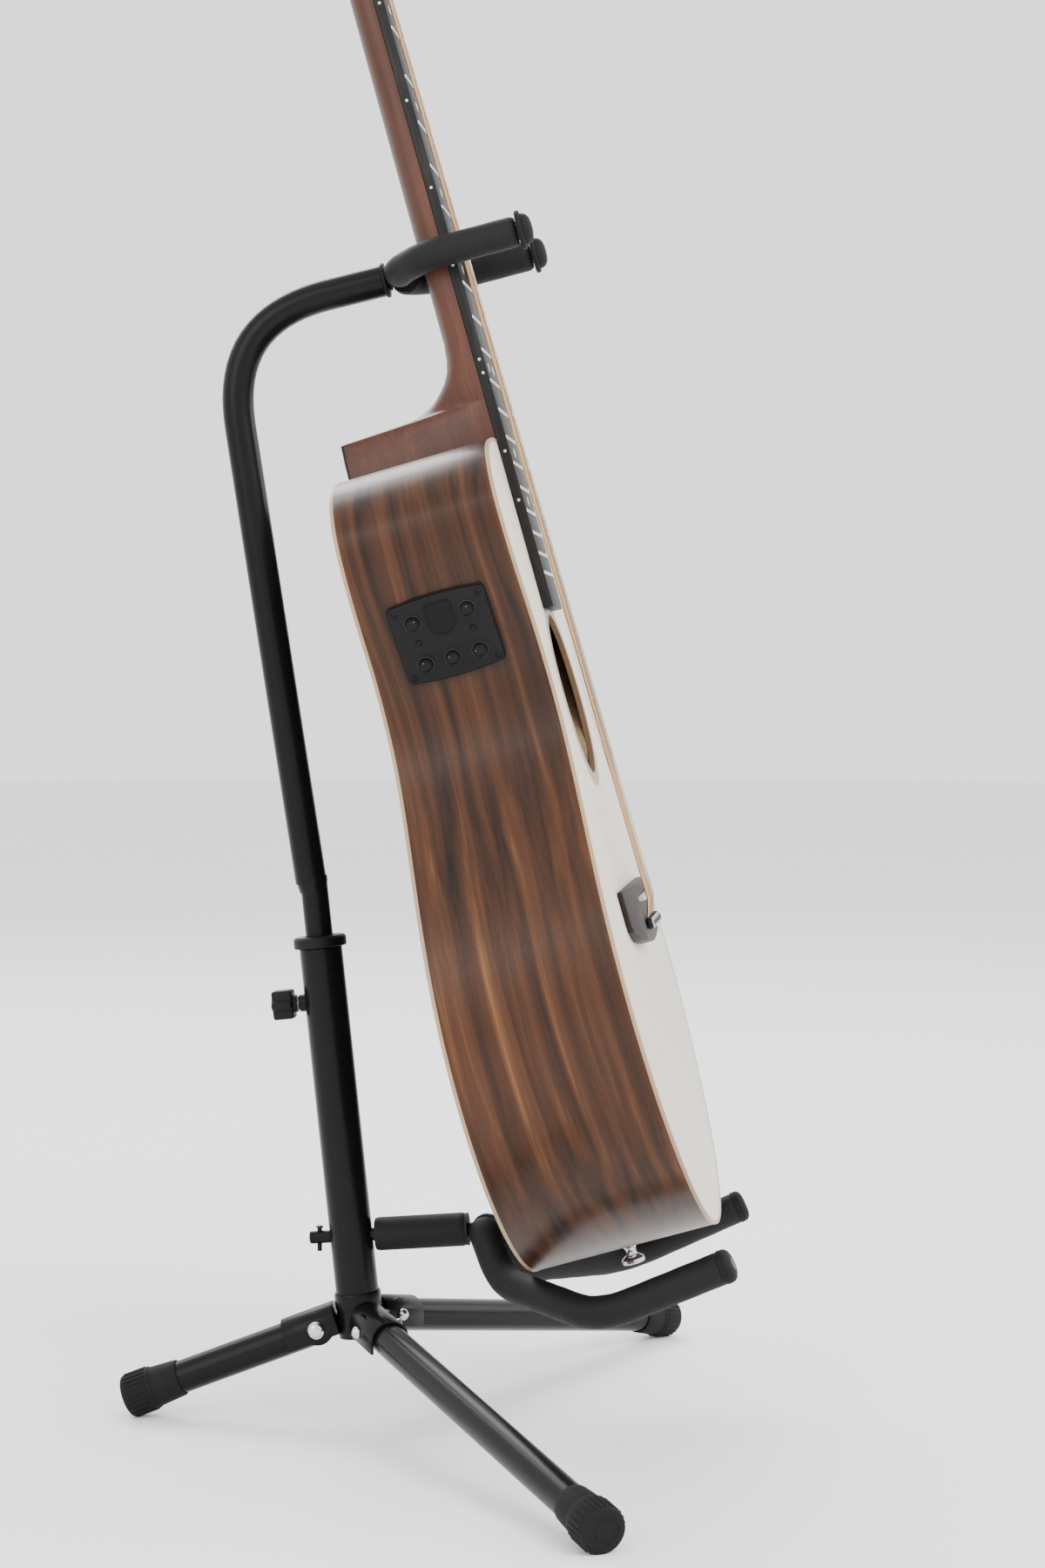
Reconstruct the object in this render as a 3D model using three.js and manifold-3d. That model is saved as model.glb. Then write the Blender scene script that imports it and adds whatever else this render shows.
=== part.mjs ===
// A steel-string acoustic guitar with a side preamp, leaning back on a folding tubular stand.
// Millimetres, +Z up. The guitar faces -Y, its bass side is on -X, and the floor is z = 0.
import * as THREE from "three";
import { mergeVertices } from "three/addons/utils/BufferGeometryUtils.js";
import Module from "manifold-3d";

const wasm = await Module();
wasm.setup();

const GAP = 0.3; // between pieces that touch
const rad = THREE.MathUtils.degToRad;

// ---- stand sizes ----
const MAST_LEAN = 6.05; // degrees back from upright
const MAST_OD = 26.5;
const MAST_WALL = 1.5;
const MAST_ZERO_Z = 86.3; // where its axis crosses the upright through the hub
const MAST_FOOT_Z = 74.8;
const MAST_TOP_Z = 294.3;
const SOCKET_OD = 29;
const SOCKET_TOP_Z = 81.3;
const HUB_Z = 61.3; // where the plane of the leg pivots crosses the mast's axis
const HUB_CORE_D = 28;
const HUB_BELOW = 7.5; // core below the pivots

const PIVOT_RADIUS = 26; // leg pivots from the mast axis
const BRACKET_REACH = 21; // its top, along the leg, beyond the pivot
const BRACKET_LIP = 15.5; // its lower edge beyond the pivot
const BRACKET_SKIRT = 7; // its walls below the pivot
const SHEET = 1.6;
const SIDE_PLAY = 0.6; // leg to bracket
const LEG_OD = 20.4;
const FRONT_LEG_TURN = 59; // degrees either side of straight ahead
const FRONT_LEG_DROP = 12.6; // degrees below the hub's plane, which is square to the mast
const REAR_LEG_DROP = 15;
const FOOT_LENGTH = 37;
const FOOT_RIM_OD = 22.8;
const FOOT_OD = 27.6;
const FOOT_FLAT = 1.2; // how far the floor flattens the rubber
const FOOT_BASE = 6; // rubber beyond the leg's end
const BOLT_D = 6;
const BOLT_HEAD_D = 11;
const BOLT_CLEARANCE = 0.4;

const COLLAR_OD = 32.6;
const COLLAR_HEIGHT = 7;
const COLLAR_DEPTH = 24; // reaches down inside the mast
const RUNNING_GAP = 0.5;

const UPPER_ROD_OD = 16.8; // the swaged end that slides in the mast
const UPPER_OD = 19.4;
const UPPER_WALL = 1.4;
const UPPER_LEAN = 8.9; // degrees back, above the swage
const SWAGE_Z = 336.3;
const ROD_INSIDE = 130; // length of the swaged end below the mast's mouth
const GOOSENECK_Z = 680.8; // where the two straight stretches of the gooseneck would meet
const GOOSENECK_REACH = 99.5; // from there forward to the tube's end
const GOOSENECK_RISE = 13; // degrees up at the tube's end
const GOOSENECK_TRIM = 66; // from the meeting point back to each end of the bend

const CLAMP_Z = 261.3;
const BOSS_OD = 11;
const BOSS_LENGTH = 3.5;
const CLAMP_SCREW_D = 5;
const KNOB_OD = 20;
const KNOB_LENGTH = 13;
const KNOB_LOBES = 6;

const YOKE_RISE = 14; // degrees
const YOKE_SWING = 3; // degrees it has swivelled, bass side up
const YOKE_ROD_D = 8;
const YOKE_HALF_WIDTH = 37;
const YOKE_LENGTH = 90; // tube end to arm ends
const YOKE_NECK = 3; // tube end to the cross part
const YOKE_SPREAD_AT = 33; // where the arms become parallel
const YOKE_CROSS_HALF = 14;
const GRIP_OD = 19.6; // foam on the yoke and the cradle
const CAP_OD = 23.6;

const CRADLE_Z = 115.8; // rod height at the mast
const CRADLE_RISE = 4.2; // degrees
const CRADLE_ROD_D = 8;
const CRADLE_HALF_WIDTH = 104;
const CRADLE_REAR_F = -29;
const CRADLE_CROSS_F = 80; // how far ahead of the mast foot the cross part lies
const CRADLE_TIP = { forward: 237, up: 122.5 };
const CRADLE_ELBOW = { x: 95, forward: 158, up: 87.3 };
const CRADLE_KNEE = { x: 24, forward: 94, up: 93.3 };
const CRADLE_SHOULDER_X = 7;
const SPACER_OD = 20.6;
const SPACER_LENGTH = 57.5;
const SPACER_START_F = 12.5;

// ---- guitar sizes ----
const GUITAR_LEAN = 15.84; // degrees back from upright
const JOINT_F = 90.3; // soundboard's upper end, ahead of the mast foot
const JOINT_Z = 603.9;
const SCALE_LENGTH = 650;
const FRETS = 20;
const BODY_LENGTH = 492.5;
const FLAT_HALF = 30; // flat of the upper end, where the heel seats
const UPPER_BOUT = { half: 124, down: 50 };
const WAIST = { half: 100, down: 152 };
const LOWER_BOUT = { half: 176, down: 338 };
const DEPTH_AT_NECK = 96;
const DEPTH_AT_TAIL = 114.5;
const PLATE = 3;
const SIDE_WALL = 2.6;
const SOUNDHOLE_R = 50;
const SOUNDHOLE_DOWN = 159;

const NUT_WIDTH = 43;
const BODY_WIDTH = 55; // fingerboard at the body joint
const BOARD = 6.3; // fingerboard thickness
const BOARD_OVERHANG = 106; // past the body joint, towards the soundhole
const FRET_WIDTH = 2.2;
const FRET_HEIGHT = 1.1;
const NUT_LENGTH = 5;
const NECK_DEPTH = 17;
const HEEL_LENGTH = 26.5;
const HEEL_CAP = 1; // the heel stops this far short of the body's depth
const HEAD_ANGLE = 14;
const HEAD_LENGTH = 178;
const HEAD_HALF = 37;
const HEAD_THICK = 15;
const TUNER_STEP = 40;
const TUNER_FIRST = 38; // from the nut along the headstock
const POST_X = 23;
const POST_D = 6.4;
const POST_HEIGHT = 9;
const TUNER_SHAFT_D = 3.6;
const TUNER_BUTTON_OUT = 14; // headstock edge to the middle of the button

const END_PIN_DEPTH = 58; // below the soundboard

const BRIDGE_HALF = 76;
const BRIDGE_HEIGHT = 8.4;
const BRIDGE_LENGTH = 37;
const SADDLE_THICK = 3;
const SADDLE_RISE = 4;
const PIN_D = 7.4;
const PIN_DOWN = 16; // saddle to pin line
const STRING_SPREAD = 55; // outer strings at the saddle
const NUT_SPREAD = 36;
const STRING_D = [1.35, 1.1, 0.85, 0.8, 0.8, 0.8]; // bass to treble, the thin ones made no thinner

const PREAMP = { across: 58, tall: 47, down: 108, depth: 51, plate: 2.4, box: 32, border: 5 };
const PREAMP_COLUMN = 16.4; // centre to the outer controls
const PREAMP_ROWS = { upper: 12, lower: 13.7 };
const CONTROL_D = 8.2;
const CONTROL_RISE = 4;
const PUSH_D = 3;
const PUSH_RISE = 1.3;
const PUSH_TRAVEL = 0.8;
const WINDOW = { across: 15.6, tall: 19 };

// ---- materials ----
function finish(colour, roughness, metalness = 0) {
  return new THREE.MeshStandardMaterial({ color: colour, roughness, metalness });
}
const LOOK = {
  spruce: finish(0xe6dccb, 0.45),
  walnut: finish(0x5a3826, 0.4),
  mahogany: finish(0x6e3a26, 0.45),
  spruceInside: finish(0xc9ac82, 0.7),
  ebony: finish(0x141314, 0.45),
  rosewood: finish(0x3a2620, 0.5),
  bone: finish(0xe9e0cc, 0.4),
  bronze: finish(0xb98a55, 0.35, 0.9),
  chrome: finish(0xd0d2d4, 0.15, 1),
  plastic: finish(0x17181a, 0.5),
  lens: finish(0x0a0a0b, 0.1),
  steel: finish(0x151617, 0.4, 0.3),
  foam: finish(0x1b1b1c, 0.85),
  rubber: finish(0x1c1c1d, 0.7),
};

// ---- small helpers ----
const root = new THREE.Group();
const stand = new THREE.Group();
const guitar = new THREE.Group();
root.add(stand, guitar);

function at(x, forward, up) {
  return new THREE.Vector3(x, -forward, up);
}

function put(parent, name, geometry, material, position) {
  const mesh = new THREE.Mesh(geometry, material);
  mesh.name = name;
  if (position) mesh.position.copy(position);
  parent.add(mesh);
  return mesh;
}

// A closed geometry as a solid that can be joined and cut.
function solidOf(geometry) {
  const bare = geometry.index ? geometry.toNonIndexed() : geometry.clone();
  bare.deleteAttribute("normal");
  bare.deleteAttribute("uv");
  const merged = mergeVertices(bare, 1e-4);
  return new wasm.Manifold(
    new wasm.Mesh({
      numProp: 3,
      vertProperties: merged.attributes.position.array,
      triVerts: new Uint32Array(merged.index.array),
    }),
  );
}

function geometryOf(solid) {
  const mesh = solid.getMesh();
  const geometry = new THREE.BufferGeometry();
  geometry.setAttribute("position", new THREE.BufferAttribute(mesh.vertProperties, 3));
  geometry.setIndex(new THREE.BufferAttribute(mesh.triVerts, 1));
  geometry.computeVertexNormals();
  return geometry;
}

function join(...geometries) {
  return geometryOf(geometries.map(solidOf).reduce((a, b) => a.add(b)));
}

function common(a, b) {
  return geometryOf(solidOf(a).intersect(solidOf(b)));
}

function cut(geometry, ...tools) {
  return geometryOf(tools.map(solidOf).reduce((a, b) => a.subtract(b), solidOf(geometry)));
}

// A turned solid about +Z from [radius, height] points listed upwards.
function turned(points, sides = 20) {
  const profile = points.map(([r, h]) => new THREE.Vector2(r, h));
  return new THREE.LatheGeometry(profile, sides).rotateX(Math.PI / 2);
}

function disc(radius, low, high, sides = 20) {
  return turned([[0, low], [radius, low], [radius, high], [0, high]], sides);
}

function sleeve(inner, outer, low, high, sides = 24) {
  return turned([[inner, low], [outer, low], [outer, high], [inner, high], [inner, low]], sides);
}

// A box from its lowest and highest corners.
function block(low, high) {
  const size = high.map((v, i) => v - low[i]);
  const middle = high.map((v, i) => (v + low[i]) / 2);
  return new THREE.BoxGeometry(...size).translate(...middle);
}

function extruded(shape, depth, curveSegments = 10) {
  return new THREE.ExtrudeGeometry(shape, { depth, bevelEnabled: false, curveSegments });
}

function ringShape(outer, inner, sides) {
  const circle = (r) =>
    Array.from({ length: sides }, (_, i) => {
      const a = (2 * Math.PI * i) / sides;
      return new THREE.Vector2(r * Math.cos(a), r * Math.sin(a));
    });
  const shape = new THREE.Shape(circle(outer));
  if (inner) shape.holes.push(new THREE.Path(circle(inner)));
  return shape;
}

// A route of straight runs with each inner corner rounded, as a tube bender leaves it.
function bentRoute(corners, trim) {
  const route = new THREE.CurvePath();
  let from = corners[0];
  for (let i = 1; i < corners.length - 1; i++) {
    const corner = corners[i];
    const back = Math.min(trim[i - 1], corner.distanceTo(from), corner.distanceTo(corners[i + 1]));
    const start = corner.clone().add(from.clone().sub(corner).setLength(back));
    const end = corner.clone().add(corners[i + 1].clone().sub(corner).setLength(back));
    if (start.distanceTo(from) > 0.01) route.add(new THREE.LineCurve3(from, start));
    const round = 0.58; // handle length that keeps a bend nearly circular
    const a = start.clone().lerp(corner, round);
    const b = end.clone().lerp(corner, round);
    route.add(new THREE.CubicBezierCurve3(start, a, b, end));
    from = end;
  }
  route.add(new THREE.LineCurve3(from, corners.at(-1)));
  return route;
}

// Part of a route between two shares of its length.
class Stretch extends THREE.Curve {
  constructor(route, from, to) {
    super();
    Object.assign(this, { route, from, to });
  }
  getPoint(t, target = new THREE.Vector3()) {
    return target.copy(this.route.getPointAt(this.from + t * (this.to - this.from)));
  }
}

function tubeAlong(route, outer, inner, steps, sides = 14) {
  return new THREE.ExtrudeGeometry(ringShape(outer, inner, sides), {
    steps,
    extrudePath: route,
    bevelEnabled: false,
  });
}

// ---- stand: the tripod, mast, yoke and cradle ----
function mastPoint(z) {
  return at(0, (MAST_ZERO_Z - z) * Math.tan(rad(MAST_LEAN)), z);
}

// A group with +Z up the mast and +Y to the rear, its origin on the mast's axis at height z.
function onMast(z) {
  const group = new THREE.Group();
  group.position.copy(mastPoint(z));
  group.rotation.x = -rad(MAST_LEAN);
  stand.add(group);
  return group;
}

function alongMast(z) {
  return z / Math.cos(rad(MAST_LEAN));
}

const MAST_LENGTH = alongMast(MAST_TOP_Z - MAST_FOOT_Z);

// The cradle's rod as it runs, through a height on the mast's axis.
function cradleRodPoint(forward) {
  const mast = mastPoint(CRADLE_Z);
  return at(0, forward, CRADLE_Z + (forward + mast.y) * Math.tan(rad(CRADLE_RISE)));
}

function rodAlongCradle(diameter, fromF, toF, sides = 12) {
  const a = cradleRodPoint(fromF);
  const b = cradleRodPoint(toF);
  return tubeAlong(new THREE.LineCurve3(a, b), diameter / 2, 0, 1, sides);
}

function addMast() {
  const group = onMast(MAST_FOOT_Z);
  const tube = sleeve(MAST_OD / 2 - MAST_WALL, MAST_OD / 2, 0, MAST_LENGTH, 24);
  const clampUp = alongMast(CLAMP_Z - MAST_FOOT_Z);
  const boss = disc(BOSS_OD / 2, MAST_OD / 2 - 0.8, MAST_OD / 2 + BOSS_LENGTH, 14)
    .rotateX(-Math.PI / 2)
    .translate(0, 0, clampUp);
  const screwHole = disc(CLAMP_SCREW_D / 2 + RUNNING_GAP, 0, MAST_OD, 12)
    .rotateX(-Math.PI / 2)
    .translate(0, 0, clampUp);
  group.updateMatrixWorld(true);
  const rodHole = rodAlongCradle(CRADLE_ROD_D + 2 * RUNNING_GAP, -MAST_OD, MAST_OD);
  rodHole.applyMatrix4(group.matrix.clone().invert());
  put(group, "mast_tube", cut(join(tube, boss), screwHole, rodHole), LOOK.steel);
}

const LEGS = [
  { name: "rear", heading: 90, drop: REAR_LEG_DROP },
  { name: "left", heading: -90 - FRONT_LEG_TURN, drop: FRONT_LEG_DROP },
  { name: "right", heading: -90 + FRONT_LEG_TURN, drop: FRONT_LEG_DROP },
];

// A plate shape drawn as [outward, up] corners, set upright and centred across its thickness.
function upright(corners, thickness) {
  const shape = new THREE.Shape(corners.map(([x, z]) => new THREE.Vector2(x, z)));
  return extruded(shape, thickness).rotateX(Math.PI / 2).translate(0, thickness / 2, 0);
}

// A point from a leg's pivot: so far along the leg and so far above its axis.
function fromPivot(drop, along, above) {
  const c = Math.cos(rad(drop));
  const s = Math.sin(rad(drop));
  return [PIVOT_RADIUS + along * c + above * s, above * c - along * s];
}

// A folded sheet channel, open below, level by the hub and then sloping as the leg does.
function legBracket(drop) {
  const inside = LEG_OD / 2 + SIDE_PLAY;
  const outside = inside + SHEET;
  const knee = (height) => [PIVOT_RADIUS + height * Math.tan(rad(drop) / 2), height];
  const start = HUB_CORE_D / 2 - 3;
  const channel = upright(
    [
      [start, outside],
      [start, -HUB_BELOW],
      fromPivot(drop, BRACKET_LIP, -BRACKET_SKIRT),
      fromPivot(drop, BRACKET_REACH, outside),
      knee(outside),
    ],
    2 * outside,
  );
  const reach = BRACKET_REACH + LEG_OD;
  const hollow = upright(
    [
      [HUB_CORE_D / 2 + 1, inside],
      [HUB_CORE_D / 2 + 1, -reach],
      fromPivot(drop, reach, -reach),
      fromPivot(drop, reach, inside),
      knee(inside),
    ],
    2 * inside,
  );
  const bore = pivotPin(BOLT_D + 2 * BOLT_CLEARANCE, outside + 1).translate(PIVOT_RADIUS, 0, 0);
  return cut(channel, hollow, bore);
}

function pivotPin(diameter, half) {
  return disc(diameter / 2, -half, half, 12).rotateX(-Math.PI / 2);
}

function addHub() {
  const top = LEG_OD / 2 + SIDE_PLAY + SHEET;
  const core = disc(HUB_CORE_D / 2, -HUB_BELOW, top - SHEET, 24);
  const brackets = LEGS.map(({ drop, heading }) => legBracket(drop).rotateZ(rad(heading)));
  const bore = MAST_OD / 2 + GAP;
  const socket = sleeve(bore, SOCKET_OD / 2, top - SHEET - 1, alongMast(SOCKET_TOP_Z - HUB_Z), 24);
  put(onMast(HUB_Z), "leg_hub", join(core, socket, ...brackets), LOOK.steel);
}

// The leg, its pivot bolt and its rubber foot, in a group whose +X points out along the leg.
function addLeg({ name, heading, drop }) {
  const arm = onMast(HUB_Z);
  arm.rotateZ(rad(heading));
  const leg = new THREE.Group();
  leg.position.x = PIVOT_RADIUS;
  leg.rotation.y = rad(drop);
  arm.add(leg);
  leg.updateWorldMatrix(true, false);
  const along = new THREE.Vector3().setFromMatrixColumn(leg.matrixWorld, 0);
  const pivot = new THREE.Vector3().setFromMatrixPosition(leg.matrixWorld);
  const rimDrop = (FOOT_OD / 2) * Math.sqrt(1 - along.z ** 2);
  const length = (pivot.z + FOOT_FLAT - rimDrop) / -along.z;

  const laid = (geometry) => geometry.rotateY(Math.PI / 2);
  const rodEnd = length - FOOT_BASE;
  const rod = laid(disc(LEG_OD / 2, 0, rodEnd, 18));
  const tongue = pivotPin(LEG_OD, LEG_OD / 2 - 1.5);
  const hole = pivotPin(BOLT_D + 2 * BOLT_CLEARANCE, LEG_OD);
  put(leg, `leg_${name}`, cut(join(rod, tongue), hole), LOOK.steel);

  const inner = LEG_OD / 2 + GAP;
  const outer = FOOT_OD / 2;
  const boot = laid(
    turned(
      [
        [inner, length - FOOT_LENGTH],
        [FOOT_RIM_OD / 2, length - FOOT_LENGTH],
        [outer - 0.4, length - FOOT_LENGTH * 0.45],
        [outer, length - FOOT_LENGTH * 0.3],
        [outer, length - 1.5],
        [outer - 1.5, length],
        [0, length],
        [0, rodEnd + GAP],
        [inner, rodEnd + GAP],
        [inner, length - FOOT_LENGTH],
      ],
      18,
    ),
  );
  const floor = block([-2 * length, -2 * length, -length], [2 * length, 2 * length, 0]);
  floor.applyMatrix4(leg.matrixWorld.clone().invert());
  put(leg, `foot_${name}`, cut(boot, floor), LOOK.rubber);

  const wall = LEG_OD / 2 + SIDE_PLAY + SHEET + GAP;
  const head = BOLT_HEAD_D / 2;
  const bolt = turned(
    [
      [0, -wall - 4.5],
      [head - 0.6, -wall - 4.5],
      [head - 0.6, -wall],
      [BOLT_D / 2, -wall],
      [BOLT_D / 2, wall],
      [head, wall],
      [head * 0.85, wall + 2],
      [head * 0.4, wall + 3.2],
      [0, wall + 3.5],
    ],
    14,
  ).rotateX(name === "rear" ? -Math.PI / 2 : Math.PI / 2);
  const place = new THREE.Vector3(PIVOT_RADIUS, 0, 0);
  put(arm, `pivot_bolt_${name}`, bolt, LOOK.chrome, place);
}

function addCollar() {
  const bore = UPPER_ROD_OD / 2 + RUNNING_GAP;
  const plug = MAST_OD / 2 - MAST_WALL - GAP;
  const collar = turned(
    [
      [bore, -COLLAR_DEPTH],
      [plug, -COLLAR_DEPTH],
      [plug, 0],
      [COLLAR_OD / 2, 0],
      [COLLAR_OD / 2, COLLAR_HEIGHT],
      [bore, COLLAR_HEIGHT],
      [bore, -COLLAR_DEPTH],
    ],
    24,
  );
  const group = onMast(MAST_FOOT_Z);
  put(group, "collar", collar, LOOK.plastic, new THREE.Vector3(0, 0, MAST_LENGTH + GAP));
}

// A hand knob with finger lobes on a steel screw that presses on the sliding rod.
function addClampKnob() {
  const lobed = new THREE.Shape(
    Array.from({ length: KNOB_LOBES * 6 }, (_, i) => {
      const a = (2 * Math.PI * i) / (KNOB_LOBES * 6);
      const r = KNOB_OD / 2 - 1.2 + 1.2 * Math.cos(KNOB_LOBES * a);
      return new THREE.Vector2(r * Math.cos(a), r * Math.sin(a));
    }),
  );
  const from = UPPER_ROD_OD / 2 + GAP;
  const knobFrom = MAST_OD / 2 + BOSS_LENGTH + 3.5;
  const knob = extruded(lobed, KNOB_LENGTH).translate(0, 0, knobFrom);
  const screw = disc(CLAMP_SCREW_D / 2, from, knobFrom + 1, 12);
  const group = onMast(CLAMP_Z);
  put(group, "clamp_knob", join(knob, screw).rotateX(-Math.PI / 2), LOOK.plastic);
}

const UPPER_SHIFT = (UPPER_OD - UPPER_ROD_OD) / 2; // the swage keeps the tube's front face straight

function gooseneckCorner() {
  const start = mastPoint(SWAGE_Z);
  const forward = -start.y - UPPER_SHIFT - (GOOSENECK_Z - SWAGE_Z) * Math.tan(rad(UPPER_LEAN));
  return at(0, forward, GOOSENECK_Z);
}

function upperTubeEnd() {
  const rise = GOOSENECK_REACH * Math.tan(rad(GOOSENECK_RISE));
  return gooseneckCorner().add(at(0, GOOSENECK_REACH, rise));
}

function addUpperTube() {
  const bottom = mastPoint(MAST_TOP_Z - ROD_INSIDE);
  const swage = mastPoint(SWAGE_Z);
  const rodRoute = new THREE.LineCurve3(bottom, swage);
  const rod = tubeAlong(rodRoute, UPPER_ROD_OD / 2, UPPER_ROD_OD / 2 - UPPER_WALL, 1, 18);
  const start = swage.clone().add(at(0, -UPPER_SHIFT, -2));
  const route = bentRoute([start, gooseneckCorner(), upperTubeEnd()], [GOOSENECK_TRIM]);
  const neck = tubeAlong(route, UPPER_OD / 2, UPPER_OD / 2 - UPPER_WALL, 22, 16);
  put(stand, "upper_tube", join(rod, neck), LOOK.steel);
}

// A group at the gooseneck's open end, with +X across, +Y up and +Z out of the tube.
function atTubeEnd(rise) {
  const group = new THREE.Group();
  group.position.copy(upperTubeEnd());
  group.rotation.x = Math.PI / 2 - rad(rise);
  group.rotation.order = "ZYX";
  stand.add(group);
  return group;
}

function addTubeBush() {
  const bore = YOKE_ROD_D / 2 + RUNNING_GAP;
  const plug = UPPER_OD / 2 - UPPER_WALL - GAP;
  const bush = turned(
    [
      [bore, -12],
      [plug, -12],
      [plug, GAP],
      [UPPER_OD / 2 + 1.1, GAP],
      [UPPER_OD / 2 + 1.1, 2.4],
      [bore, 2.4],
      [bore, -12],
    ],
    20,
  );
  put(atTubeEnd(GOOSENECK_RISE), "tube_bush", bush, LOOK.plastic);
}

// The yoke in its own plane: x across, z forward along the arms, from the gooseneck's end.
function yokeRoute() {
  const corner = (x, z) => new THREE.Vector3(x, 0, z);
  const cross = YOKE_NECK + YOKE_ROD_D;
  const half = [
    corner(YOKE_HALF_WIDTH, YOKE_LENGTH),
    corner(YOKE_HALF_WIDTH, YOKE_SPREAD_AT),
    corner(YOKE_CROSS_HALF, cross),
  ];
  const mirrored = half.map((p) => new THREE.Vector3(-p.x, 0, p.z)).reverse();
  return bentRoute([...half, ...mirrored], [14, 9, 9, 14]);
}

// A foam sleeve over one end of a bent rod, and the push-on cap that closes it.
function gripOver(route, from, to, bore, steps) {
  return tubeAlong(new Stretch(route, from, to), GRIP_OD / 2, bore, steps, 10);
}

function addYoke() {
  const group = atTubeEnd(YOKE_RISE);
  group.rotateZ(-rad(YOKE_SWING));
  const route = yokeRoute();
  const rod = tubeAlong(route, YOKE_ROD_D / 2, 0, 26, 8);
  const stem = disc(YOKE_ROD_D / 2 - 0.2, -14, YOKE_NECK + YOKE_ROD_D, 12);
  put(group, "yoke_rod", join(rod, stem), LOOK.steel);
  const bore = YOKE_ROD_D / 2 + 0.5;
  const middle = (YOKE_ROD_D * 1.15) / route.getLength();
  put(group, "yoke_grip_right", gripOver(route, 0.004, 0.5 - middle, bore, 12), LOOK.foam);
  put(group, "yoke_grip_left", gripOver(route, 0.5 + middle, 0.996, bore, 12), LOOK.foam);
  const rim = CAP_OD / 2;
  const cap = turned(
    [
      [0, 0],
      [rim, 0],
      [rim, 2.6],
      [rim - 2.2, 3.2],
      [rim - 2.6, 5],
      [rim - 5.5, 7.6],
      [0, 8.6],
    ],
    18,
  );
  for (const [side, x] of [["left", -1], ["right", 1]]) {
    const place = new THREE.Vector3(x * YOKE_HALF_WIDTH, 0, YOKE_LENGTH + GAP);
    put(group, `yoke_cap_${side}`, cap.clone(), LOOK.rubber, place);
  }
}

function cradleRoute() {
  const elbow = CRADLE_ELBOW;
  const knee = CRADLE_KNEE;
  const shoulder = cradleRodPoint(CRADLE_CROSS_F);
  const half = [
    at(CRADLE_HALF_WIDTH, CRADLE_TIP.forward, CRADLE_TIP.up),
    at(elbow.x, elbow.forward, elbow.up),
    at(knee.x, knee.forward, knee.up),
    at(CRADLE_SHOULDER_X, -shoulder.y, shoulder.z),
  ];
  const mirrored = half.map((p) => new THREE.Vector3(-p.x, p.y, p.z)).reverse();
  return bentRoute([...half, ...mirrored], [22, 15, 9, 9, 15, 22]);
}

function addCradle() {
  const route = cradleRoute();
  const cross = tubeAlong(route, CRADLE_ROD_D / 2, 0, 36, 8);
  const stem = rodAlongCradle(CRADLE_ROD_D, CRADLE_REAR_F, CRADLE_CROSS_F, 12);
  const pinF = CRADLE_REAR_F + 6;
  const pinMiddle = cradleRodPoint(pinF);
  const pinHole = disc(1.8, -CRADLE_ROD_D, CRADLE_ROD_D, 10).translate(0, pinMiddle.y, pinMiddle.z);
  put(stand, "cradle_rod", cut(join(cross, stem), pinHole), LOOK.steel);
  const pin = disc(1.5, -CRADLE_ROD_D / 2 - 4.5, CRADLE_ROD_D / 2 + 2.5, 10);
  put(stand, "cradle_pin", pin.translate(0, pinMiddle.y, pinMiddle.z), LOOK.steel);

  const bore = CRADLE_ROD_D / 2 + 0.6;
  const a = cradleRodPoint(SPACER_START_F);
  const b = cradleRodPoint(SPACER_START_F + SPACER_LENGTH);
  const spacer = tubeAlong(new THREE.LineCurve3(a, b), SPACER_OD / 2, bore, 1, 16);
  put(stand, "cradle_spacer", spacer, LOOK.foam);
  put(stand, "cradle_grip_right", gripOver(route, 0, 0.452, bore, 16), LOOK.foam);
  put(stand, "cradle_grip_left", gripOver(route, 0.548, 1, bore, 16), LOOK.foam);
}

// ---- guitar: x across, y up the neck, z out of the soundboard, from the neck joint ----
guitar.position.copy(at(0, JOINT_F, JOINT_Z));
guitar.rotation.x = rad(90 - GUITAR_LEAN);

const BACK_TAPER = Math.atan2(DEPTH_AT_TAIL - DEPTH_AT_NECK, BODY_LENGTH);

// One side of the body's outline from the neck end to the tail, drawn by its three bouts.
function bodyCurves(side, inset) {
  const { half: uw, down: ud } = UPPER_BOUT;
  const { half: ww, down: wd } = WAIST;
  const { half: lw, down: ld } = LOWER_BOUT;
  const p = (x, down) => new THREE.Vector2(side * x, -down);
  const end = BODY_LENGTH - inset;
  return [
    new THREE.CubicBezierCurve(
      p(FLAT_HALF, inset),
      p(uw * 0.72, inset),
      p(uw - inset, ud * 0.42),
      p(uw - inset, ud),
    ),
    new THREE.CubicBezierCurve(
      p(uw - inset, ud),
      p(uw - inset, ud + 42),
      p(ww - inset, wd - 45),
      p(ww - inset, wd),
    ),
    new THREE.CubicBezierCurve(
      p(ww - inset, wd),
      p(ww - inset, wd + 62),
      p(lw - inset, ld - 78),
      p(lw - inset, ld),
    ),
    new THREE.CubicBezierCurve(
      p(lw - inset, ld),
      p(lw - inset, ld + 84),
      p(lw * 0.52, end),
      p(0, end),
    ),
  ];
}

function bodyPoints(inset, steps = 7) {
  const half = (side) =>
    bodyCurves(side, inset).flatMap((curve, i) => curve.getPoints(steps).slice(i ? 1 : 0));
  const right = half(1);
  return [...right, ...half(-1).reverse().slice(1)];
}

function bodyShape(inset, steps) {
  return new THREE.Shape(bodyPoints(inset, steps).reverse());
}

// Everything behind the back plate's inner face, as a tool to trim against.
function behindBack(clearance) {
  const size = 2 * BODY_LENGTH;
  const slab = block([-size, -size, -size], [size, size, clearance]);
  return slab.rotateX(BACK_TAPER).translate(0, 0, -DEPTH_AT_NECK + PLATE);
}

function inBody(low, high) {
  return cut(block(low, high), behindBack(GAP));
}

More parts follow.
